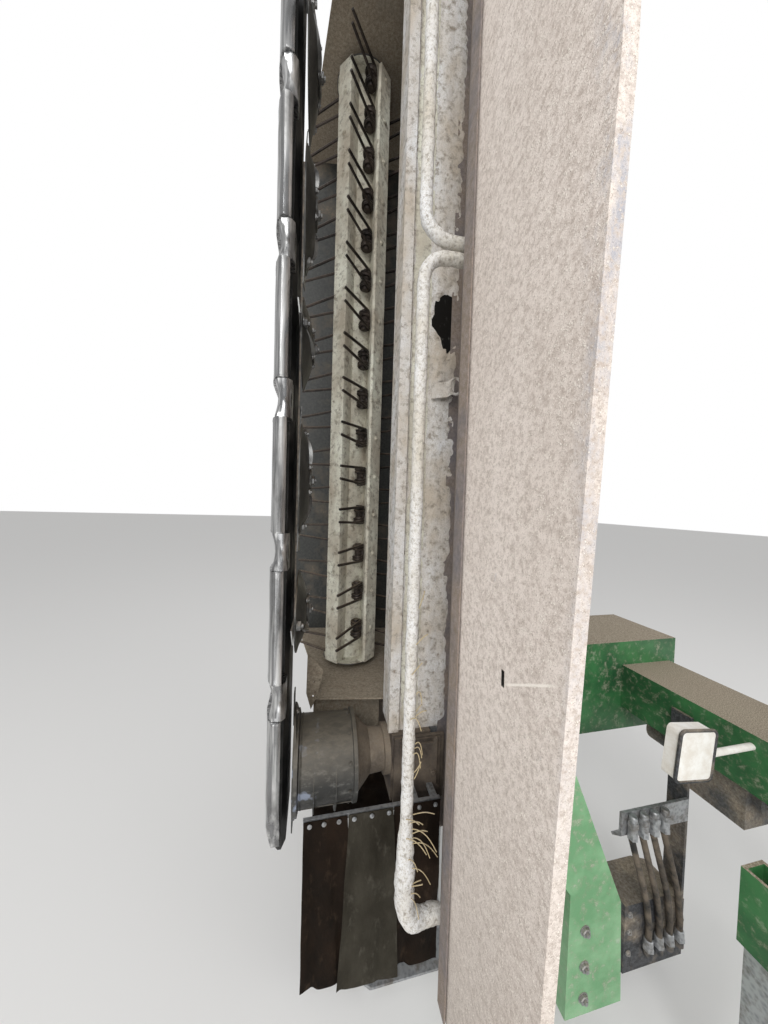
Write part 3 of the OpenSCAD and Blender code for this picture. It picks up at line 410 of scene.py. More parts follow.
MAT = {
    "guard": guard_panel(),
    "slate": dusted(
        "slate_dusty", (0.085, 0.09, 0.105), (0.16, 0.16, 0.175), 0.55, 5, pale=(0.36, 0.31, 0.27)
    ),
    # Near-black paint and darkened dust on the rear deflector: painted shade of the hood's cavity.
    "deflector_painted_shade": dusted(
        "deflector_painted_shade", (0.028, 0.03, 0.028), (0.05, 0.05, 0.046), 0.25, 6, pale=(0.10, 0.095, 0.08)
    ),
    "slope": dusted(
        "slope_dusty", (0.14, 0.13, 0.14), (0.20, 0.18, 0.18), 0.72, 6, pale=(0.33, 0.275, 0.245)
    ),
    "beam": caked("beam_dust", (2.6, 2.9, 3.3)),
    "rail_dust": caked("rail_dust", (2.1, 2.35, 2.55), 0.8),
    "tube_dust": caked("tube_dust", (2.8, 3.3, 3.9), 2.2),
    "shelf": dusted(
        "shelf_dust", (0.20, 0.17, 0.13), (0.26, 0.23, 0.18), 0.95, 8, pale=(0.40, 0.35, 0.27)
    ),
    "gearbox": dusted(
        "gearbox_dust", (0.055, 0.044, 0.036), (0.085, 0.068, 0.054), 0.35, 8, pale=(0.15, 0.125, 0.10)
    ),
    "neck": dusted(
        "neck_dust", (0.10, 0.082, 0.064), (0.15, 0.125, 0.10), 0.5, 9, pale=(0.24, 0.205, 0.16)
    ),
    "polished": polished(),
    "disc": oily("disc_dark"),
    "knife": oily("knife_steel", (0.10, 0.10, 0.10), (0.30, 0.30, 0.29), 0.30),
    "bar": oily("bar_dark", (0.02, 0.02, 0.02), (0.06, 0.058, 0.055), 0.45),
    "tine": oily("tine_steel", (0.022, 0.018, 0.016), (0.075, 0.058, 0.048), 0.45),
    "drum": drum_steel(),
    "curtain": curtain_cloth(
        "curtain_brown", (0.006, 0.004, 0.0025), (0.019, 0.011, 0.0065), (0.046, 0.030, 0.019)
    ),
    "curtain_grey": curtain_cloth(
        "curtain_grey", (0.019, 0.016, 0.011), (0.047, 0.042, 0.032), (0.090, 0.082, 0.066)
    ),
    # Near-black fill for holes and slots: painted shade of their dark insides.
    "void": oily("painted_shade_interior", (0.006, 0.005, 0.004), (0.012, 0.010, 0.008), 0.9),
    "straw": dusted("straw", (0.42, 0.33, 0.18), (0.55, 0.45, 0.27), 0.2, 30),
    # Darker copy of the green paint than the gusset's: partly painted shade on the frame, carrier and arms.
    "green": green_paint("green_paint", (0.017, 0.078, 0.028), (0.042, 0.172, 0.056), (0.24, 0.36, 0.24)),
    "gusset": green_paint("gusset_green", (0.13, 0.31, 0.145), (0.27, 0.48, 0.27), (0.52, 0.62, 0.52)),
    "zinc": galvanised(),
    "rubber": rubber(),
    "lens": lens_glass(),
    "black": dusted("black_dusty", (0.025, 0.026, 0.028), (0.07, 0.072, 0.078), 0.4, 9),
    "cast": dusted("cast_grey", (0.07, 0.07, 0.07), (0.13, 0.13, 0.13), 0.5, 9),
    "chrome": oily("rod_chrome", (0.45, 0.45, 0.45), (0.6, 0.6, 0.6), 0.15),
    "steel": dusted(
        "bare_steel", (0.30, 0.30, 0.30), (0.42, 0.42, 0.42), 0.3, 12, metal=0.9, rough=0.35
    ),
}

COATS = {
    "guard": ["front_guard"],
    "slate": ["outer_guard", "swath_board_inner", "swath_board_outer", "hood_top"],
    "slope": ["guard_slope"],
    "beam": ["main_beam"],
    "shelf": ["inner_end_plate", "outer_end_plate"],
    "gearbox": ["wing_gearbox"],
    "neck": ["drive_neck"],
    "rail_dust": ["rotor_core"],
    "tube_dust": ["guard_tubes"],
    "drum": ["disc_1"],
    "bar": ["cutterbar"],
    "polished": ["skids"],
    "disc": ["disc_2", "disc_3", "disc_4", "disc_5", "disc_6", "disc_7"],
    "tine": ["rotor_tines"],
    "green": ["headstock_frame", "pivot_carrier", "lift_arm", "wing_hanger"],
    "gusset": ["pivot_gusset"],
    "deflector_painted_shade": ["rear_deflector"],
    "cast": ["main_gearbox", "rotor_bearings"],
    "zinc": [
        "leg_left", "leg_right", "wing_leg_front", "wing_leg_rear", "leg_sleeves", "curtain_rail",
        "hose_bracket",
    ],
    "steel": ["link_pins", "pto_stub"],
    "black": ["cylinder_barrel", "valve_box"],
    "lens": ["work_lamp"],
    "chrome": ["cylinder_rod"],
    "rubber": ["hydraulic_hoses"],
    "curtain": ["side_curtain"],
}
for coat, names in COATS.items():
    for name in names:
        for place in nodes[name].material_slots:
            place.material = MAT[coat]


# mesh helpers

SHARP = 38


def piece(name, verts, faces, coat, body, slot, smooth=True):
    """A mesh in the row frame that rides on a body; edges past SHARP degrees stay sharp."""
    mesh = bpy.data.meshes.new(name)
    mesh.from_pydata([tuple(p) for p in verts], [], faces)
    mesh.validate()
    mesh.update()
    mesh.materials.append(MAT[coat])
    for face in mesh.polygons:
        face.use_smooth = smooth
    obj = bpy.data.objects.new(name, mesh)
    scene.collection.objects.link(obj)
    if smooth:
        mesh.set_sharp_from_angle(angle=math.radians(SHARP))
    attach(obj, body)
    return obj


def sweep(points, radius, sides=10, closed_ends=True):
    """Round tube along points."""
    verts, faces = [], []
    count = len(points)
    ring_up = None
    for i, p in enumerate(points):
        ahead = points[min(i + 1, count - 1)] - points[max(i - 1, 0)]
        ahead.normalize()
        if ring_up is None:
            ring_up = ahead.orthogonal().normalized()
        ring_up = (ring_up - ahead * ring_up.dot(ahead)).normalized()
        side = ahead.cross(ring_up)
        for k in range(sides):
            a = 2 * math.pi * k / sides
            verts.append(p + ring_up * (radius * math.cos(a)) + side * (radius * math.sin(a)))
    for i in range(count - 1):
        for k in range(sides):
            a, b = i * sides + k, i * sides + (k + 1) % sides
            faces.append((a, b, b + sides, a + sides))
    if closed_ends:
        faces.append(tuple(range(sides))[::-1])
        faces.append(tuple((count - 1) * sides + k for k in range(sides)))
    return verts, faces


def merge(parts):
    """Joins (verts, faces) pairs into one."""
    verts, faces = [], []
    for more_verts, more_faces in parts:
        base = len(verts)
        verts += more_verts
        faces += [tuple(i + base for i in f) for f in more_faces]
    return verts, faces


def loft(rings):
    """Closed skin over rings of equally many points, with an end face at each end."""
    verts = [p for ring in rings for p in ring]
    n = len(rings[0])
    faces = []
    for i in range(len(rings) - 1):
        for k in range(n):
            a, b = i * n + k, i * n + (k + 1) % n
            faces.append((a, b, b + n, a + n))
    faces.append(tuple(range(n))[::-1])
    faces.append(tuple((len(rings) - 1) * n + k for k in range(n)))
    return verts, faces


def turned(centre, axis, profile, sides=24):
    """Revolve of (radius, distance) pairs about an axis through a centre, all in metres."""
    axis = axis.normalized()
    one = axis.orthogonal().normalized()
    two = axis.cross(one)
    rings = []
    for r, d in profile:
        ring = []
        for k in range(sides):
            a = 2 * math.pi * k / sides
            ring.append(centre + axis * d + (one * math.cos(a) + two * math.sin(a)) * max(r, 1e-5))
        rings.append(ring)
    return loft(rings)


def bolt(centre, axis, size=0.012, height=0.007, washer=True):
    """Chamfered hexagon head with a washer."""
    parts = []
    if washer:
        ring = [(size * 1.15, -0.0006), (size * 1.15, 0.0018), (size * 1.05, 0.0022)]
        parts.append(turned(centre, axis, ring, 16))
    head = [(size * 0.98, 0.0015), (size * 0.98, height * 0.8), (size * 0.82, height)]
    parts.append(turned(centre, axis, head, 6))
    parts.append(turned(centre, axis, [(size * 0.45, height * 0.9), (size * 0.45, height * 1.5)], 10))
    return merge(parts)


def wobble(p, seed=0.0):
    """Smooth noise from -1 to 1 at a point."""
    return noise.noise(Vector(p) + Vector((seed, seed * 1.7, -seed)))


# skids, saddles and discs


def skid_span(n):
    """First and last place along the bar of skid n."""
    middle = (n + 0.5) * DISC_PITCH
    first = FIRST_SKID if n == 0 else middle - SKID_HALF
    return first, middle + SKID_HALF


# points of a skid's section in u and v: its nose from the top down, its sole and heel, its inside
SKID_NOSE = [
    (-23, -168), (-32, -173.5), (-44, -174.5), (-54, -166), (-61, -148), (-66, -120), (-69.5, -92),
]
SKID_SOLE = [(-69.5, 40), (-69, 100), (-62, 132), (-51, 158)]
SKID_INSIDE = [(-45, 159), (-46.5, 118), (-46.5, -112), (-40, -124), (-25, -137)]
SKID_FLOOR = -69.9
SKID_FRONT = -175.6
NOSE_LIFT = 21
NOSE_CUT = 46


def skid_ring(w, swell, seed, lift=0.0):
    """Section of one skid at a place along the bar; swell flares its nose, lift tapers it."""
    ring = []
    for k, (u, v) in enumerate(SKID_NOSE + SKID_SOLE + SKID_INSIDE):
        nose = k < len(SKID_NOSE)
        out = swell if nose else 0.0
        ripple = wobble((w / 90, seed, k * 0.4)) * (1.6 if nose else 0.4)
        u2 = max(u - (out if k > 3 else 0) + ripple * 0.5, SKID_FLOOR)
        v2 = max(v - (out if k < 4 else 0) + ripple, SKID_FRONT)
        if lift:
            u2 = max(u2, -69.5 + NOSE_LIFT * lift) if v2 < 150 else u2
            v2 = max(v2, -174 + NOSE_CUT * lift)
        ring.append(P(u2, v2, w))
    return ring


def skid_meshes():
    """Each skid is a bent shoe whose ends flare a little into bright lips."""
    shoes = []
    steps = 14
    taper = 150
    for n in range(DISC_COUNT):
        start, end = skid_span(n)
        rings = []
        for i in range(steps + 1):
            t = i / steps
            w = start + (end - start) * t
            lift = max(0.0, 1 - (w - start) / taper) if n == 0 else 0.0
            rings.append(skid_ring(w, 0.0, n * 3.1, lift))
        if n > 0:
            rings.insert(1, skid_ring(start + 3, 1.0, n * 3.1))
            rings.insert(2, skid_ring(start + 7, 0.2, n * 3.1))
        rings.insert(-1, skid_ring(end - 7, 0.2, n * 3.1))
        rings.insert(-1, skid_ring(end - 3, 1.0, n * 3.1))
        shoes.append(loft(rings))
    obj = piece("skid_shoes", *merge(shoes), "polished", "wing", "polished_steel")
    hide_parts("skids")


def saddle_meshes():
    """Waisted cover between two skids, with bevelled shoulders."""
    parts = []
    for n in range(1, DISC_COUNT + 1):
        last = n == DISC_COUNT
        centre = BAR_LENGTH - 18 if last else n * DISC_PITCH
        half = 26 if last else 53
        rings = []
        for t in (-1.0, -0.86, -0.62, -0.3, 0.0, 0.3, 0.62, 0.86, 1.0):
            waist = 1.0 - 0.34 * math.cos(t * math.pi / 2) ** 1.4
            w = centre + half * t
            nose = -148 - 20 * waist
            low = -34 - 24 * waist
            ring = [
                (-12, -110), (-16 + 4 * waist, nose + 14), (-22, nose + 3), (-32, nose), (low + 8, nose + 5),
                (low, nose + 18), (low - 2, -118), (-47, -108),
            ]
            rings.append([P(u, v, w) for u, v in ring])
        parts.append(loft(rings))
    piece("saddles", *merge(parts), "polished", "wing", "polished_steel")


# dome from its rim to its hub: share of the outline's radius, height above the disc plane
DISC_PROFILE = [
    (1.0, 8), (1.0, 12), (0.95, 14), (0.86, 17), (0.74, 24), (0.60, 31), (0.46, 36), (0.34, 38.5),
    (0.25, 39), (0.245, 45), (0.10, 46), (0.001, 46),
]
HUB_SHARE = 0.3
LENS_RADIUS = 214.0
LENS_OFFSET = 86.0


def disc_shape(centre_w, long_way):
    """Dome with a lens-shaped outline of two arcs, its ends cut round, and two swirls pressed in."""
    sides = 56
    rings = []
    for reach, height in DISC_PROFILE:
        ring = []
        for k in range(sides):
            a = 2 * math.pi * k / sides
            across = LENS_OFFSET * abs(math.sin(a - long_way))
            arc = math.sqrt(across * across + LENS_RADIUS**2 - LENS_OFFSET**2) - across
            radius = min(DISC_RADIUS, arc)
            r = radius * reach if reach > HUB_SHARE else DISC_RADIUS * reach
            swirl = math.sin(2 * (a - long_way) + 0.9)
            lift = 7 * max(0.0, swirl) ** 3 * math.exp(-((reach - 0.70) / 0.18) ** 2)
            ring.append(P(height + lift, r * math.cos(a), centre_w + r * math.sin(a)))
        rings.append(ring)
    return loft(rings)


def disc_vane(centre_w, angle):
    """Curved conveying vane that stands on the dome."""
    rings = []
    inner, outer = 62, 166
    for i in range(13):
        t = i / 12
        r = inner + (outer - inner) * t
        a = angle + 0.62 - 0.75 * t
        height = 40 * (1 - t) + 15 * t
        tall = 15 * math.sin(math.pi * min(1.0, t * 1.15 + 0.08)) ** 0.7
        y, w = r * math.cos(a), centre_w + r * math.sin(a)
        across = Vector((0, math.cos(a + 1.1), math.sin(a + 1.1)))
        base = Vector((height - 6, y, w))
        lean = across * 4
        rings.append([
            P(*(base - across * 5)),
            P(*(base + across * 5)),
            P(*(base + lean + across * 2 + Vector((6 + tall, 0, 0)))),
            P(*(base + lean - across * 2 + Vector((6 + tall, 0, 0)))),
        ])
    return loft(rings)


def knife(centre_w, angle):
    """Twisted knife under the end of a lobe; its pivot bolt is added in disc_meshes."""
    rings = []
    for i in range(9):
        t = i / 8
        r = KNIFE_ROOT + (KNIFE_REACH - KNIFE_ROOT) * t
        half = 22 - 3 * t
        tilt = 3.5 * max(0.0, t - 0.3)
        radial = Vector((0, math.cos(angle), math.sin(angle)))
        cross = Vector((0, -math.sin(angle), math.cos(angle)))
        mid = Vector((6.5, 0, centre_w)) + radial * r
        rings.append([
            P(*(mid - cross * half + Vector((-1.8 - tilt, 0, 0)))),
            P(*(mid + cross * half + Vector((-1.8 + tilt, 0, 0)))),
            P(*(mid + cross * half + Vector((1.4 + tilt, 0, 0)))),
            P(*(mid - cross * half + Vector((1.4 - tilt, 0, 0)))),
        ])
    return loft(rings)


def around(u, radius, angle, centre_w):
    """Point at a height and radius about a disc's axis."""
    return P(u, radius * math.cos(angle), centre_w + radius * math.sin(angle))


def disc_meshes():
    """Discs 2 to 7, each a quarter turn from the next, so that their knives pass between each other."""
    up = Vector((1, 0, 0))
    for n in range(2, DISC_COUNT + 1):
        centre_w = (n - 0.5) * DISC_PITCH
        long_way = math.radians(90 * (n % 2))
        ends = (long_way, long_way + math.pi)
        body = f"disc_{n}"
        obj = piece(f"disc_dome_{n}", *disc_shape(centre_w, long_way), "disc", body, "dark_casting")
        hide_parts(body)
        vanes = [disc_vane(centre_w, a) for a in ends]
        piece(f"disc_vanes_{n}", *merge(vanes), "knife", body, "dark_casting")
        parts = [knife(centre_w, a) for a in ends]
        for a in ends:
            parts.append(bolt(around(15, KNIFE_PIN, a, centre_w), up, 0.015, 0.012))
        for k in range(4):
            parts.append(bolt(around(38.5, 56, math.pi / 4 + k * math.pi / 2, centre_w), up, 0.008, 0.006))
        parts.append(bolt(P(45, 0, centre_w), up, 0.016, 0.010, False))
        piece(f"disc_knives_{n}", *merge(parts), "knife", body, "bright_steel")


def drum_details():
    """Rivets round the drum's top, its seam and hem, and the knife bolts of the drum's disc."""
    up = Vector((1, 0, 0))
    seam_angle = 0.72 + math.pi
    parts = []
    for k in range(10):
        a = 2 * math.pi * k / 10 + 0.2
        out = Vector((0, math.cos(a), math.sin(a)))
        parts.append(bolt(around(DRUM_TOP - 24, DRUM_RADIUS - 1, a, DRUM_W), out, 0.006, 0.004, False))
    seam = [around(24 + (DRUM_TOP - 40) * i / 12, DRUM_RADIUS + 1, seam_angle, DRUM_W) for i in range(13)]
    parts.append(sweep(seam, 0.002, 6))
    hem = [around(34, DRUM_RADIUS + 1.5, 2 * math.pi * i / 40, DRUM_W) for i in range(41)]
    parts.append(sweep(hem, 0.0028, 6, False))
    piece("drum_seams", *merge(parts), "drum", "disc_1", "dark_casting")
    heads = [bolt(around(12, 162, a, DRUM_W), up, 0.011, 0.007) for a in (math.pi / 2, -math.pi / 2)]
    piece("drum_knife_bolts", *merge(heads), "knife", "disc_1", "bright_steel")


# rotor


def tine_spring(angle, along):
    """Two spring coils with one leg each, wound from one wire, and the core that holds them."""
    radial = Vector((math.cos(angle), math.sin(angle), 0))
    tangent = Vector((-math.sin(angle), math.cos(angle), 0))
    lean = math.radians(30)
    tip = 258
    wire = 0.0058
    coil = 20.2
    leave = math.radians(40.5)
    per_turn = 14
    coil_steps = 30
    leg_steps = 8
    inner, outer, toe = 13, 36, 11
    parts = []

    def spot(r, t, w):
        p = radial * r + tangent * t
        return P(ROTOR_U + p.x, ROTOR_V + p.y, along + w)

    def on_coil(a):
        return TINE_SEAT + coil * math.cos(a), coil * math.sin(a)

    begin = leave + 2 * math.pi * coil_steps / per_turn
    for side in (-1, 1):
        path = []
        for i in range(coil_steps + 1):
            a = begin - 2 * math.pi * i / per_turn
            path.append(spot(*on_coil(a), side * (inner + (outer - inner) * i / coil_steps)))
        r0, t0 = on_coil(leave)
        for i in range(1, leg_steps + 1):
            share = i / leg_steps
            r = r0 + (tip * math.cos(lean) - r0) * share
            t = t0 + (-tip * math.sin(lean) - t0) * share
            path.append(spot(r, t, side * (outer - toe * share)))
        parts.append(sweep(path, wire, 6))
    r, t = on_coil(begin)
    parts.append(sweep([spot(r, t, -inner), spot(r, t * 1.1, 0), spot(r, t, inner)], wire, 6))
    core = [(0.0125, -0.043), (0.0145, -0.040), (0.0145, 0.040), (0.0125, 0.043)]
    parts.append(turned(spot(TINE_SEAT, 0, 0), Vector((0, 0, 1)), core, 12))
    parts.append(bolt(spot(TINE_SEAT + 11, 0, 0), radial, 0.010, 0.008, False))
    return merge(parts)


def tine_places():
    """Row angle and place along the bar of each tine unit; every second row is half a pitch on."""
    first = ROTOR_START + 64
    count = int((ROTOR_END - 42 - first - TINE_PITCH / 2) // TINE_PITCH) + 1
    for row in range(4):
        angle = math.radians(90 * row + ROW_TURN)
        for n in range(count):
            yield angle, first + (row % 2) * TINE_PITCH / 2 + n * TINE_PITCH


def rotor_meshes():
    """Tine springs, the rail bolts beside them and the rims of the rotor's two ends."""
    parts = [tine_spring(angle, along) for angle, along in tine_places()]
    obj = piece("tine_springs", *merge(parts), "tine", "rotor", "tine_steel")
    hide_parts("rotor_tines")
    heads = []
    for angle, along in tine_places():
        face = angle + math.radians(31)
        out = Vector((math.cos(face), math.sin(face), 0))
        place = P(ROTOR_U + RAIL_FACE * math.cos(face), ROTOR_V + RAIL_FACE * math.sin(face), along)
        heads.append(bolt(place, out, 0.009, 0.005))
    piece("rail_bolts", *merge(heads), "rail_dust", "rotor", "dusty_paint")
    rims = []
    for w in (ROTOR_START + 1, ROTOR_END - 1):
        for radius, thick in ((119, 0.0028), (96, 0.0022)):
            ring = []
            for i in range(49):
                a = 2 * math.pi * i / 48
                ring.append(P(ROTOR_U + radius * math.cos(a), ROTOR_V + radius * math.sin(a), w))
            rims.append(sweep(ring, thick, 6, False))
    piece("rotor_end_rims", *merge(rims), "disc", "rotor", "dusty_paint")


# beam, tubes and dirt


def crust(name, u0, u1, w0, w1, v, depth, coat, seed, step, holes=()):
    """Lumpy layer of caked dust on a face that looks forward, thin at its rims."""
    columns = max(2, int((u1 - u0) / step))
    rows = max(2, int((w1 - w0) / step))
    verts, faces = [], []
    for j in range(rows + 1):
        for i in range(columns + 1):
            u = u0 + (u1 - u0) * i / columns
            w = w0 + (w1 - w0) * j / rows
            rim = min(i, columns - i, 3) / 3 * min(j, rows - j, 3) / 3
            broad = wobble((u / 60, 0, w / 110), seed)
            fine = wobble((u / 18, 3, w / 22), seed)
            lump = 0.5 + 0.35 * broad + 0.35 * fine
            ragged = 1 - 0.3 * wobble((u / 14, 1, w / 14))
            inside = any(abs(u - hu) / ru + abs(w - hw) / rw < ragged for hu, hw, ru, rw in holes)
            height = -2 if inside else depth * rim * max(0.02, lump) - 0.4
            verts.append(P(u, v - height, w))
    n = columns + 1
    for j in range(rows):
        for i in range(columns):
            a = j * n + i
            faces.append((a, a + 1, a + n + 1, a + n))
    piece(name, verts, faces, coat, "wing", "dusty_paint")


def dust_sleeve(name, points, seed, swell=None):
    """Dust that clings round a guard tube, uneven along and around it."""
    radius = 0.0146
    fine = []
    for i in range(len(points) - 1):
        for k in range(6):
            fine.append(points[i].lerp(points[i + 1], k / 6))
    fine.append(points[-1])
    sides = 14
    verts, faces = sweep(fine, 1.0, sides)
    out = []
    for i, p in enumerate(fine):
        for k in range(sides):
            v = verts[i * sides + k]
            direction = (v - p).normalized()
            spot = p + direction * 0.02
            lump = 1 + 0.16 * wobble(spot * 40, seed) + 0.10 * wobble(spot * 130, seed)
            grow = swell(p) if swell else 0.0
            lump += grow * (0.75 + 0.6 * wobble(spot * 24, seed + 5))
            out.append(p + direction * radius * max(0.98, lump))
    piece(name, out, faces, "tube_dust", "wing", "dusty_paint")


def tube_route(w0, w1):
    """Centre line of a guard tube with both ends bent back to the beam, in the row frame."""
    bend = 60
    tail = 98
    bend_steps = 6
    steps = 24
    points = [P(TUBE_U + tail, -TUBE_V, w0)]
    for i in range(bend_steps + 1):
        a = math.pi / 2 * i / bend_steps
        points.append(P(TUBE_U + bend - bend * math.sin(a), -TUBE_V, w0 + bend - bend * math.cos(a)))
    for i in range(1, steps):
        points.append(P(TUBE_U, -TUBE_V, w0 + bend + (w1 - w0 - 2 * bend) * i / steps))
    for i in range(bend_steps + 1):
        a = math.pi / 2 * i / bend_steps
        points.append(P(TUBE_U + bend - bend * math.cos(a), -TUBE_V, w1 - bend + bend * math.sin(a)))
    points.append(P(TUBE_U + tail, -TUBE_V, w1))
    return points


def beam_details():
    """Dust on the guard tubes, the beam, the gearbox and the drum's shield."""
    low = P(0, 0, 60).z

    def swell(p):
        off = (p.z - low) / 0.13
        return 0.95 * math.exp(-off * off)

    dust_sleeve("lower_tube_dust", tube_route(-10, 1580), 2.0, swell)
    dust_sleeve("upper_tube_dust", tube_route(1617, 2990), 4.0)
    beam = (BEAM_START + 6, BEAM_END, -BEAM_FRONT)
    crust("beam_crust_right", BEAM_STEP, 537, *beam, 11, "beam", 1.0, 9.0, BEAM_HOLES)
    crust("beam_crust_left", BEAM_LOW + 30, BEAM_STEP, *beam, 4.5, "rail_dust", 9.0, 11.0)
    crust("gearbox_crust", BEAM_LOW + 16, 512, 0, BEAM_START - 12, -80, 4.0, "gearbox", 14.0, 8.0)
    crust("shield_crust", 84, 322, -12, 246, SHIELD_V, 2.8, "shelf", 21.0, 10.0)
    # Dark patches in the crust's holes: painted shade standing in for the beam's dark inside.
    hole_shades = []
    for cu, cw, ru, rw in BEAM_HOLES:
        outline = []
        for k in range(28):
            a = 2 * math.pi * k / 28
            reach = 0.74 + 0.30 * wobble((math.cos(a) * 2, math.sin(a) * 2, cw / 100))
            outline.append((cu + ru * reach * math.cos(a), cw + rw * reach * math.sin(a)))
        hole_shades.append(loft([[P(u, -BEAM_FRONT - d, w) for u, w in outline] for d in (-0.5, 1.2)]))
    piece("beam_hole_shades", *merge(hole_shades), "void", "wing", "dusty_paint")


def deflector_hem():
    """Rubber strip along the lower edge of the rear deflector."""
    section = ((-36, 825), (-66, 829), (-66, 834), (-36, 830))
    rings = [[P(u, v, w) for u, v in section] for w in (262, 2914)]
    piece("deflector_hem", *loft(rings), "rubber", "wing", "slate_paint", smooth=False)


def gearbox_details():
    """Raised cover with round corners and two bolts, in front of the gearbox."""
    forward = Vector((0, -1, 0))
    corner = 14
    rings = []
    for inset, out in ((0, 84), (0, 90), (4, 92.5)):
        ring = []
        for cu, cw, start in ((486, 196, 90), (374, 196, 180), (374, 30, 270), (486, 30, 0)):
            for k in range(5):
                a = math.radians(start + 22.5 * k)
                reach = corner - inset
                ring.append(P(cu + reach * math.cos(a), -out, cw + reach * math.sin(a)))
        rings.append(ring)
    parts = [loft(rings)]
    for u, w in ((376, 108), (472, 93)):
        parts.append(bolt(P(u, -92, w), forward, 0.011, 0.008))
    piece("gearbox_cover", *merge(parts), "gearbox", "wing", "dusty_paint")


def beam_lug():
    """Bent lug on the beam, with a wire loop at its end."""
    section = ((0, -26), (6, -26), (6, 26), (0, 26))
    rings = []
    for du, dv, dw in ((-6, 8, -6), (44, 24, 0), (58, 44, 6)):
        rings.append([P(440 + du, -54 - dv + t, 1395 + dw + q) for t, q in section])
    loop = []
    for k in range(21):
        a = 2 * math.pi * k / 20
        loop.append(P(500 + 20 * math.cos(a), -106, 1396 + 26 * math.sin(a)))
    parts = [loft(rings), sweep(loop, 0.0045, 8, False)]
    piece("beam_lug", *merge(parts), "beam", "wing", "dusty_paint")


def guard_slot():
    """Dark plate on the slot in the front guard's panel: painted shade standing in for the opening."""
    outline = ((-623, 735), (-630.5, 735), (-631.5, 708), (-624, 708))
    rings = [[P(GUARD_U - d, v, w) for v, w in outline] for d in (-0.5, 0.6)]
    piece("guard_slot", *loft(rings), "void", "front_guard", "dusty_panel", smooth=False)


def straw_wisps():
    """Bent straws caught on the lower guard tube, most of them and the longest near its foot."""
    rng = random.Random(7)
    low_count, count = 14, 26
    parts = []
    for k in range(count):
        low = k < low_count
        w = 60 + 240 * rng.random() if low else 300 + 560 * rng.random()
        side = rng.uniform(-1.2, 2.2)
        a = P(TUBE_U + 12 * math.cos(side), -TUBE_V - 13, w)
        reach = rng.uniform(24, 62) if low else rng.uniform(12, 28)
        lift = rng.uniform(-30, 46)
        bow = Vector((rng.uniform(0.2, 1.0), -rng.uniform(0.1, 0.6), 0)).normalized() * reach / 1000
        points = []
        for i in range(8):
            t = i / 7
            droop = math.sin(math.pi * t) * 0.014
            points.append(a + bow * t + Vector((0, -droop * 0.4, lift / 1000 * t * t + droop)))
        parts.append(sweep(points, 0.0011, 5))
    piece("straw_wisps", *merge(parts), "straw", "wing", "dusty_paint")


# soft goods

FOLD_ROOM = 12.0
CLOTH_THICK = 2.4


def cloth(name, left, right, top, bottom, coat, seed, folds, slack, spread, out, face, rail):
    """Hanging sheet with folds that deepen toward its lower edge.

    Its front lies at face in v. spread moves its two lower corners in u, out brings it forward
    below its upper edge, and no fold is deeper than FOLD_ROOM.
    """
    across, down = 34, 46
    grid = []
    for j in range(down + 1):
        t = j / down
        row = []
        for i in range(across + 1):
            x = i / across
            pull = 0.35 + 0.65 * t
            wave = math.sin(2 * math.pi * (folds * x + 0.22 * seed) + 1.1 * t + 0.5 * math.sin(3 * t + seed))
            ripple = 0.5 + 0.5 * wave
            crumple = wobble((x * 3.2, t * 5.5, seed)) * 16 + wobble((x * 9, t * 14, seed + 4)) * 5
            v = -(slack * ripple + crumple + 6) * min(1.0, t * 2.2 + 0.04) * pull
            v = min(FOLD_ROOM * math.tanh(v / FOLD_ROOM), 0.0) + face - out * min(1.0, 8 * t)
            near, far = left + spread[0] * t, right + spread[1] * t
            u = near + (far - near) * x + 2.2 * wobble((x * 2, t * 4, seed + 9)) * min(1, t * 3)
            rise = 4 * t * t * wobble((x * 1.6, 1.0, seed + 2))
            row.append((u, v, top + (bottom - top) * t + rise))
        grid.append(row)
    verts, faces = [], []
    for side in (0, 1):
        for row in grid:
            for u, v, w in row:
                verts.append(P(u, v - CLOTH_THICK * side, w))
    n = across + 1
    half = n * (down + 1)
    for j in range(down):
        for i in range(across):
            a = j * n + i
            faces.append((a, a + 1, a + n + 1, a + n))
            faces.append((a + half, a + n + half, a + n + 1 + half, a + 1 + half))
    for j in range(down):
        for a, b in ((j * n, (j + 1) * n), ((j + 1) * n + across, j * n + across)):
            faces.append((a, b, b + half, a + half))
    for i in range(across):
        faces.append((i + 1, i, i + half, i + 1 + half))
        a = down * n + i
        faces.append((a, a + 1, a + 1 + half, a + half))
    obj = piece(name, verts, faces, coat, "wing", "curtain_fabric")
    return obj


def curtains():
    """Three sheets on the curtain rail, the middle one in front, and a flap under the drum's shield."""
    back = CURTAIN_V + 4
    # columns: name, left and right edge, lower edge, coat, seed, folds, slack, spread, out
    table = (
        ("curtain_left", 46, 176, -452, "curtain", 1.0, 1.9, 26, (0, 34), 0.0),
        ("curtain_middle", 180, 318, -462, "curtain_grey", 2.3, 1.6, 22, (-26, 24), 12.0),
        ("curtain_right", 322, 475, -458, "curtain", 3.7, 1.9, 24, (-24, 0), 0.0),
    )
    for name, left, right, bottom, *looks in table:
        sheet = cloth(name, left, right, CURTAIN_TOP, bottom, *looks, back, "curtain_rail")
        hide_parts("side_curtain")
    looks = ("curtain", 5.1, 2.6, 10, (0, 0), 0.0)
    cloth("shield_flap", 76, 496, -8, -262, *looks, SHIELD_V + 26, "inner_end_plate")
    heads = []
    for u in (64, 106, 150, 196, 250, 304, 350, 402, 456):
        heads.append(bolt(P(u, CURTAIN_V - 4, CURTAIN_TOP - 8), Vector((0, -1, 0)), 0.006, 0.004))
    piece("curtain_bolts", *merge(heads), "zinc", "wing", "grey_bracket")


# headstock trim


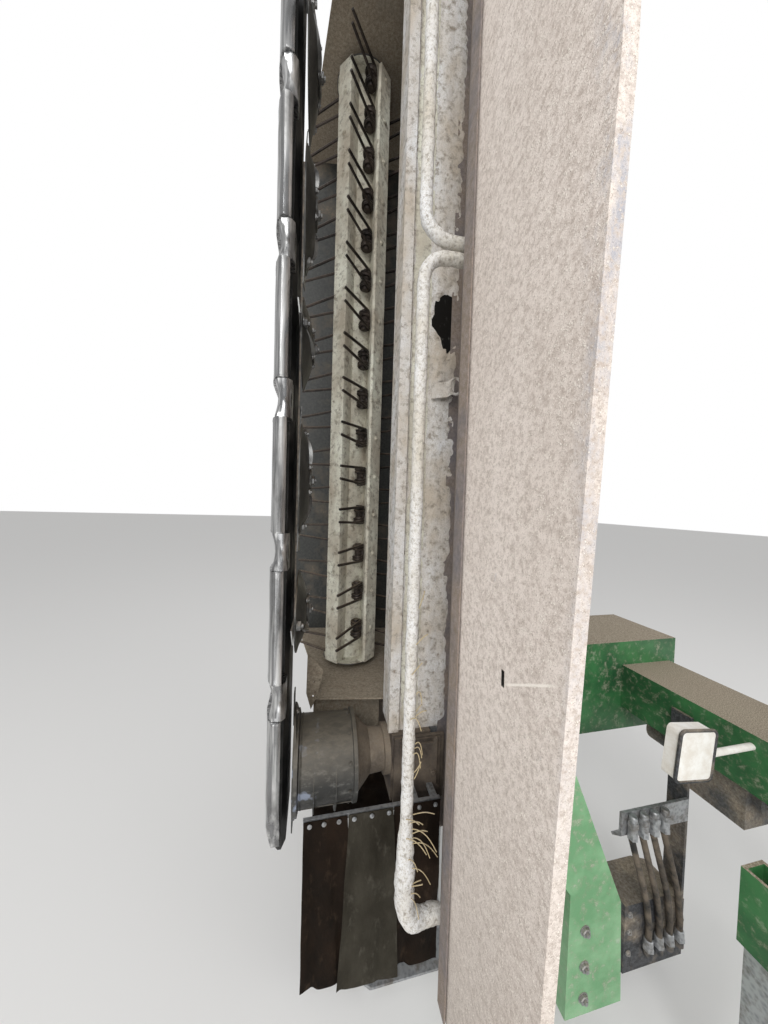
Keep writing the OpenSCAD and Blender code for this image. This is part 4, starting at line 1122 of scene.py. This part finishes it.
def hose_fittings():
    """Nut, collar and crimp at the upper end of each hose, nut and crimp at its lower end."""
    up = Vector((0, 0, 1))
    nut = [(0.0128, -0.001), (0.0160, 0.001), (0.0160, 0.013), (0.0140, 0.016)]
    collar = [(0.0115, -0.001), (0.0115, 0.018), (0.009, 0.021)]
    crimp = [(0.0105, -0.012), (0.0150, -0.010), (0.0150, 0.004), (0.0132, 0.006)]
    lower_crimp = [(0.0128, -0.004), (0.0138, 0.0), (0.0125, 0.016), (0.0102, 0.018)]
    # columns: u, v, height, section, sides
    table = (
        (HOSE_U, -318, 563, nut, 6),
        (HOSE_U, -318, 575, collar, 14),
        (HOSE_U, -318, 534, crimp, 6),
        (HOSE_U + 80, -322, 148, nut, 6),
        (HOSE_U + 80, -322, 164, lower_crimp, 16),
    )
    fittings = []
    for n in range(4):
        for u, v, z, section, sides in table:
            fittings.append(turned(G(u + HOSE_STEP * n, v, z), up, section, sides))
    piece("hose_fittings", *merge(fittings), "zinc", "headstock", "bright_steel")


def lamp_rim():
    """Black rim round the lamp's lens, a rectangle with round corners, tilted with the lamp."""
    tilt = math.radians(6)
    half_width, half_height, corner = 46, 52, 15
    corners = ((1, 1, 0), (-1, 1, 90), (-1, -1, 180), (1, -1, 270))
    rim = []
    for side, end, start in corners:
        for k in range(6):
            a = math.radians(start + 18 * k)
            x = side * half_width + corner * math.cos(a)
            y = end * half_height + corner * math.sin(a)
            u = 1047 + x * math.cos(tilt) + y * math.sin(tilt)
            rim.append(G(u, -472, 910 + y * math.cos(tilt) - x * math.sin(tilt)))
    rim.append(rim[0])
    piece("lamp_rim", *sweep(rim, 0.0042, 8, False), "black", "headstock", "black_paint")


def headstock_bolts():
    """Bolts of the valve box, the carrier and the gusset."""
    forward = Vector((0, -1, 0))
    up = Vector((0, 0, 1))
    heads = []
    for u, z in ((1066, 135), (1180, 135), (1066, 205), (1180, 205), (1066, 262)):
        heads.append(bolt(G(u, -310, z), forward, 0.008, 0.005))
    for u in (CENTRE_U - 92, CENTRE_U - 40, CENTRE_U + 40, CENTRE_U + 92):
        heads.append(bolt(G(u, -560, 915), up, 0.012, 0.009))
    piece("headstock_bolts", *merge(heads), "steel", "headstock", "bright_steel")
    heads = []
    for w in (-300, -400, -490):
        heads.append(bolt(P(PIVOT_U + 150 - w * 0.02, -405, w + 170), forward, 0.013, 0.009))
    piece("gusset_bolts", *merge(heads), "steel", "wing", "bright_steel")


# stage and light


WORLD_LIGHT = 0.62
LAMP_AIM = (-0.3, 0, 1.5)


def stage():
    """Pale floor, and a world that lights softly but shows white behind the object."""
    bpy.ops.mesh.primitive_plane_add(size=60, location=(0, 0, -0.001))
    floor = bpy.context.object
    floor.name = "floor"
    s = Shader("floor")
    s.finish((0.80, 0.795, 0.785), 0.9, 0.0, None, 0.2)
    floor.data.materials.append(s.mat)
    world = bpy.data.worlds.new("world")
    scene.world = world
    world.use_nodes = True
    tree = world.node_tree
    sky = tree.nodes["Background"]
    sky.inputs[0].default_value = (1.0, 1.0, 1.0, 1)
    path = tree.nodes.new("ShaderNodeLightPath")
    level = tree.nodes.new("ShaderNodeMapRange")
    level.inputs["To Min"].default_value = WORLD_LIGHT
    level.inputs["To Max"].default_value = 1.0
    tree.links.new(path.outputs["Is Camera Ray"], level.inputs["Value"])
    tree.links.new(level.outputs[0], sky.inputs[1])


def lamps():
    """Three soft area lamps in front, all aimed at the wing's middle."""
    # columns: name, place, size, power
    table = (
        ("key", (-2.6, -4.4, 4.6), 3.2, 190),
        ("fill", (3.6, -3.8, 2.6), 3.0, 70),
        ("low", (-1.2, -3.0, 0.7), 1.6, 16),
    )
    for name, place, size, power in table:
        data = bpy.data.lights.new(name, "AREA")
        data.size = size
        data.energy = power
        lamp = bpy.data.objects.new(name, data)
        scene.collection.objects.link(lamp)
        lamp.location = place
        lamp.rotation_euler = (Vector(LAMP_AIM) - Vector(place)).to_track_quat("-Z", "Y").to_euler()


skid_meshes()
saddle_meshes()
disc_meshes()
drum_details()
rotor_meshes()
beam_details()
deflector_hem()
gearbox_details()
beam_lug()
guard_slot()
straw_wisps()
curtains()
hose_fittings()
lamp_rim()
headstock_bolts()
stage()
lamps()
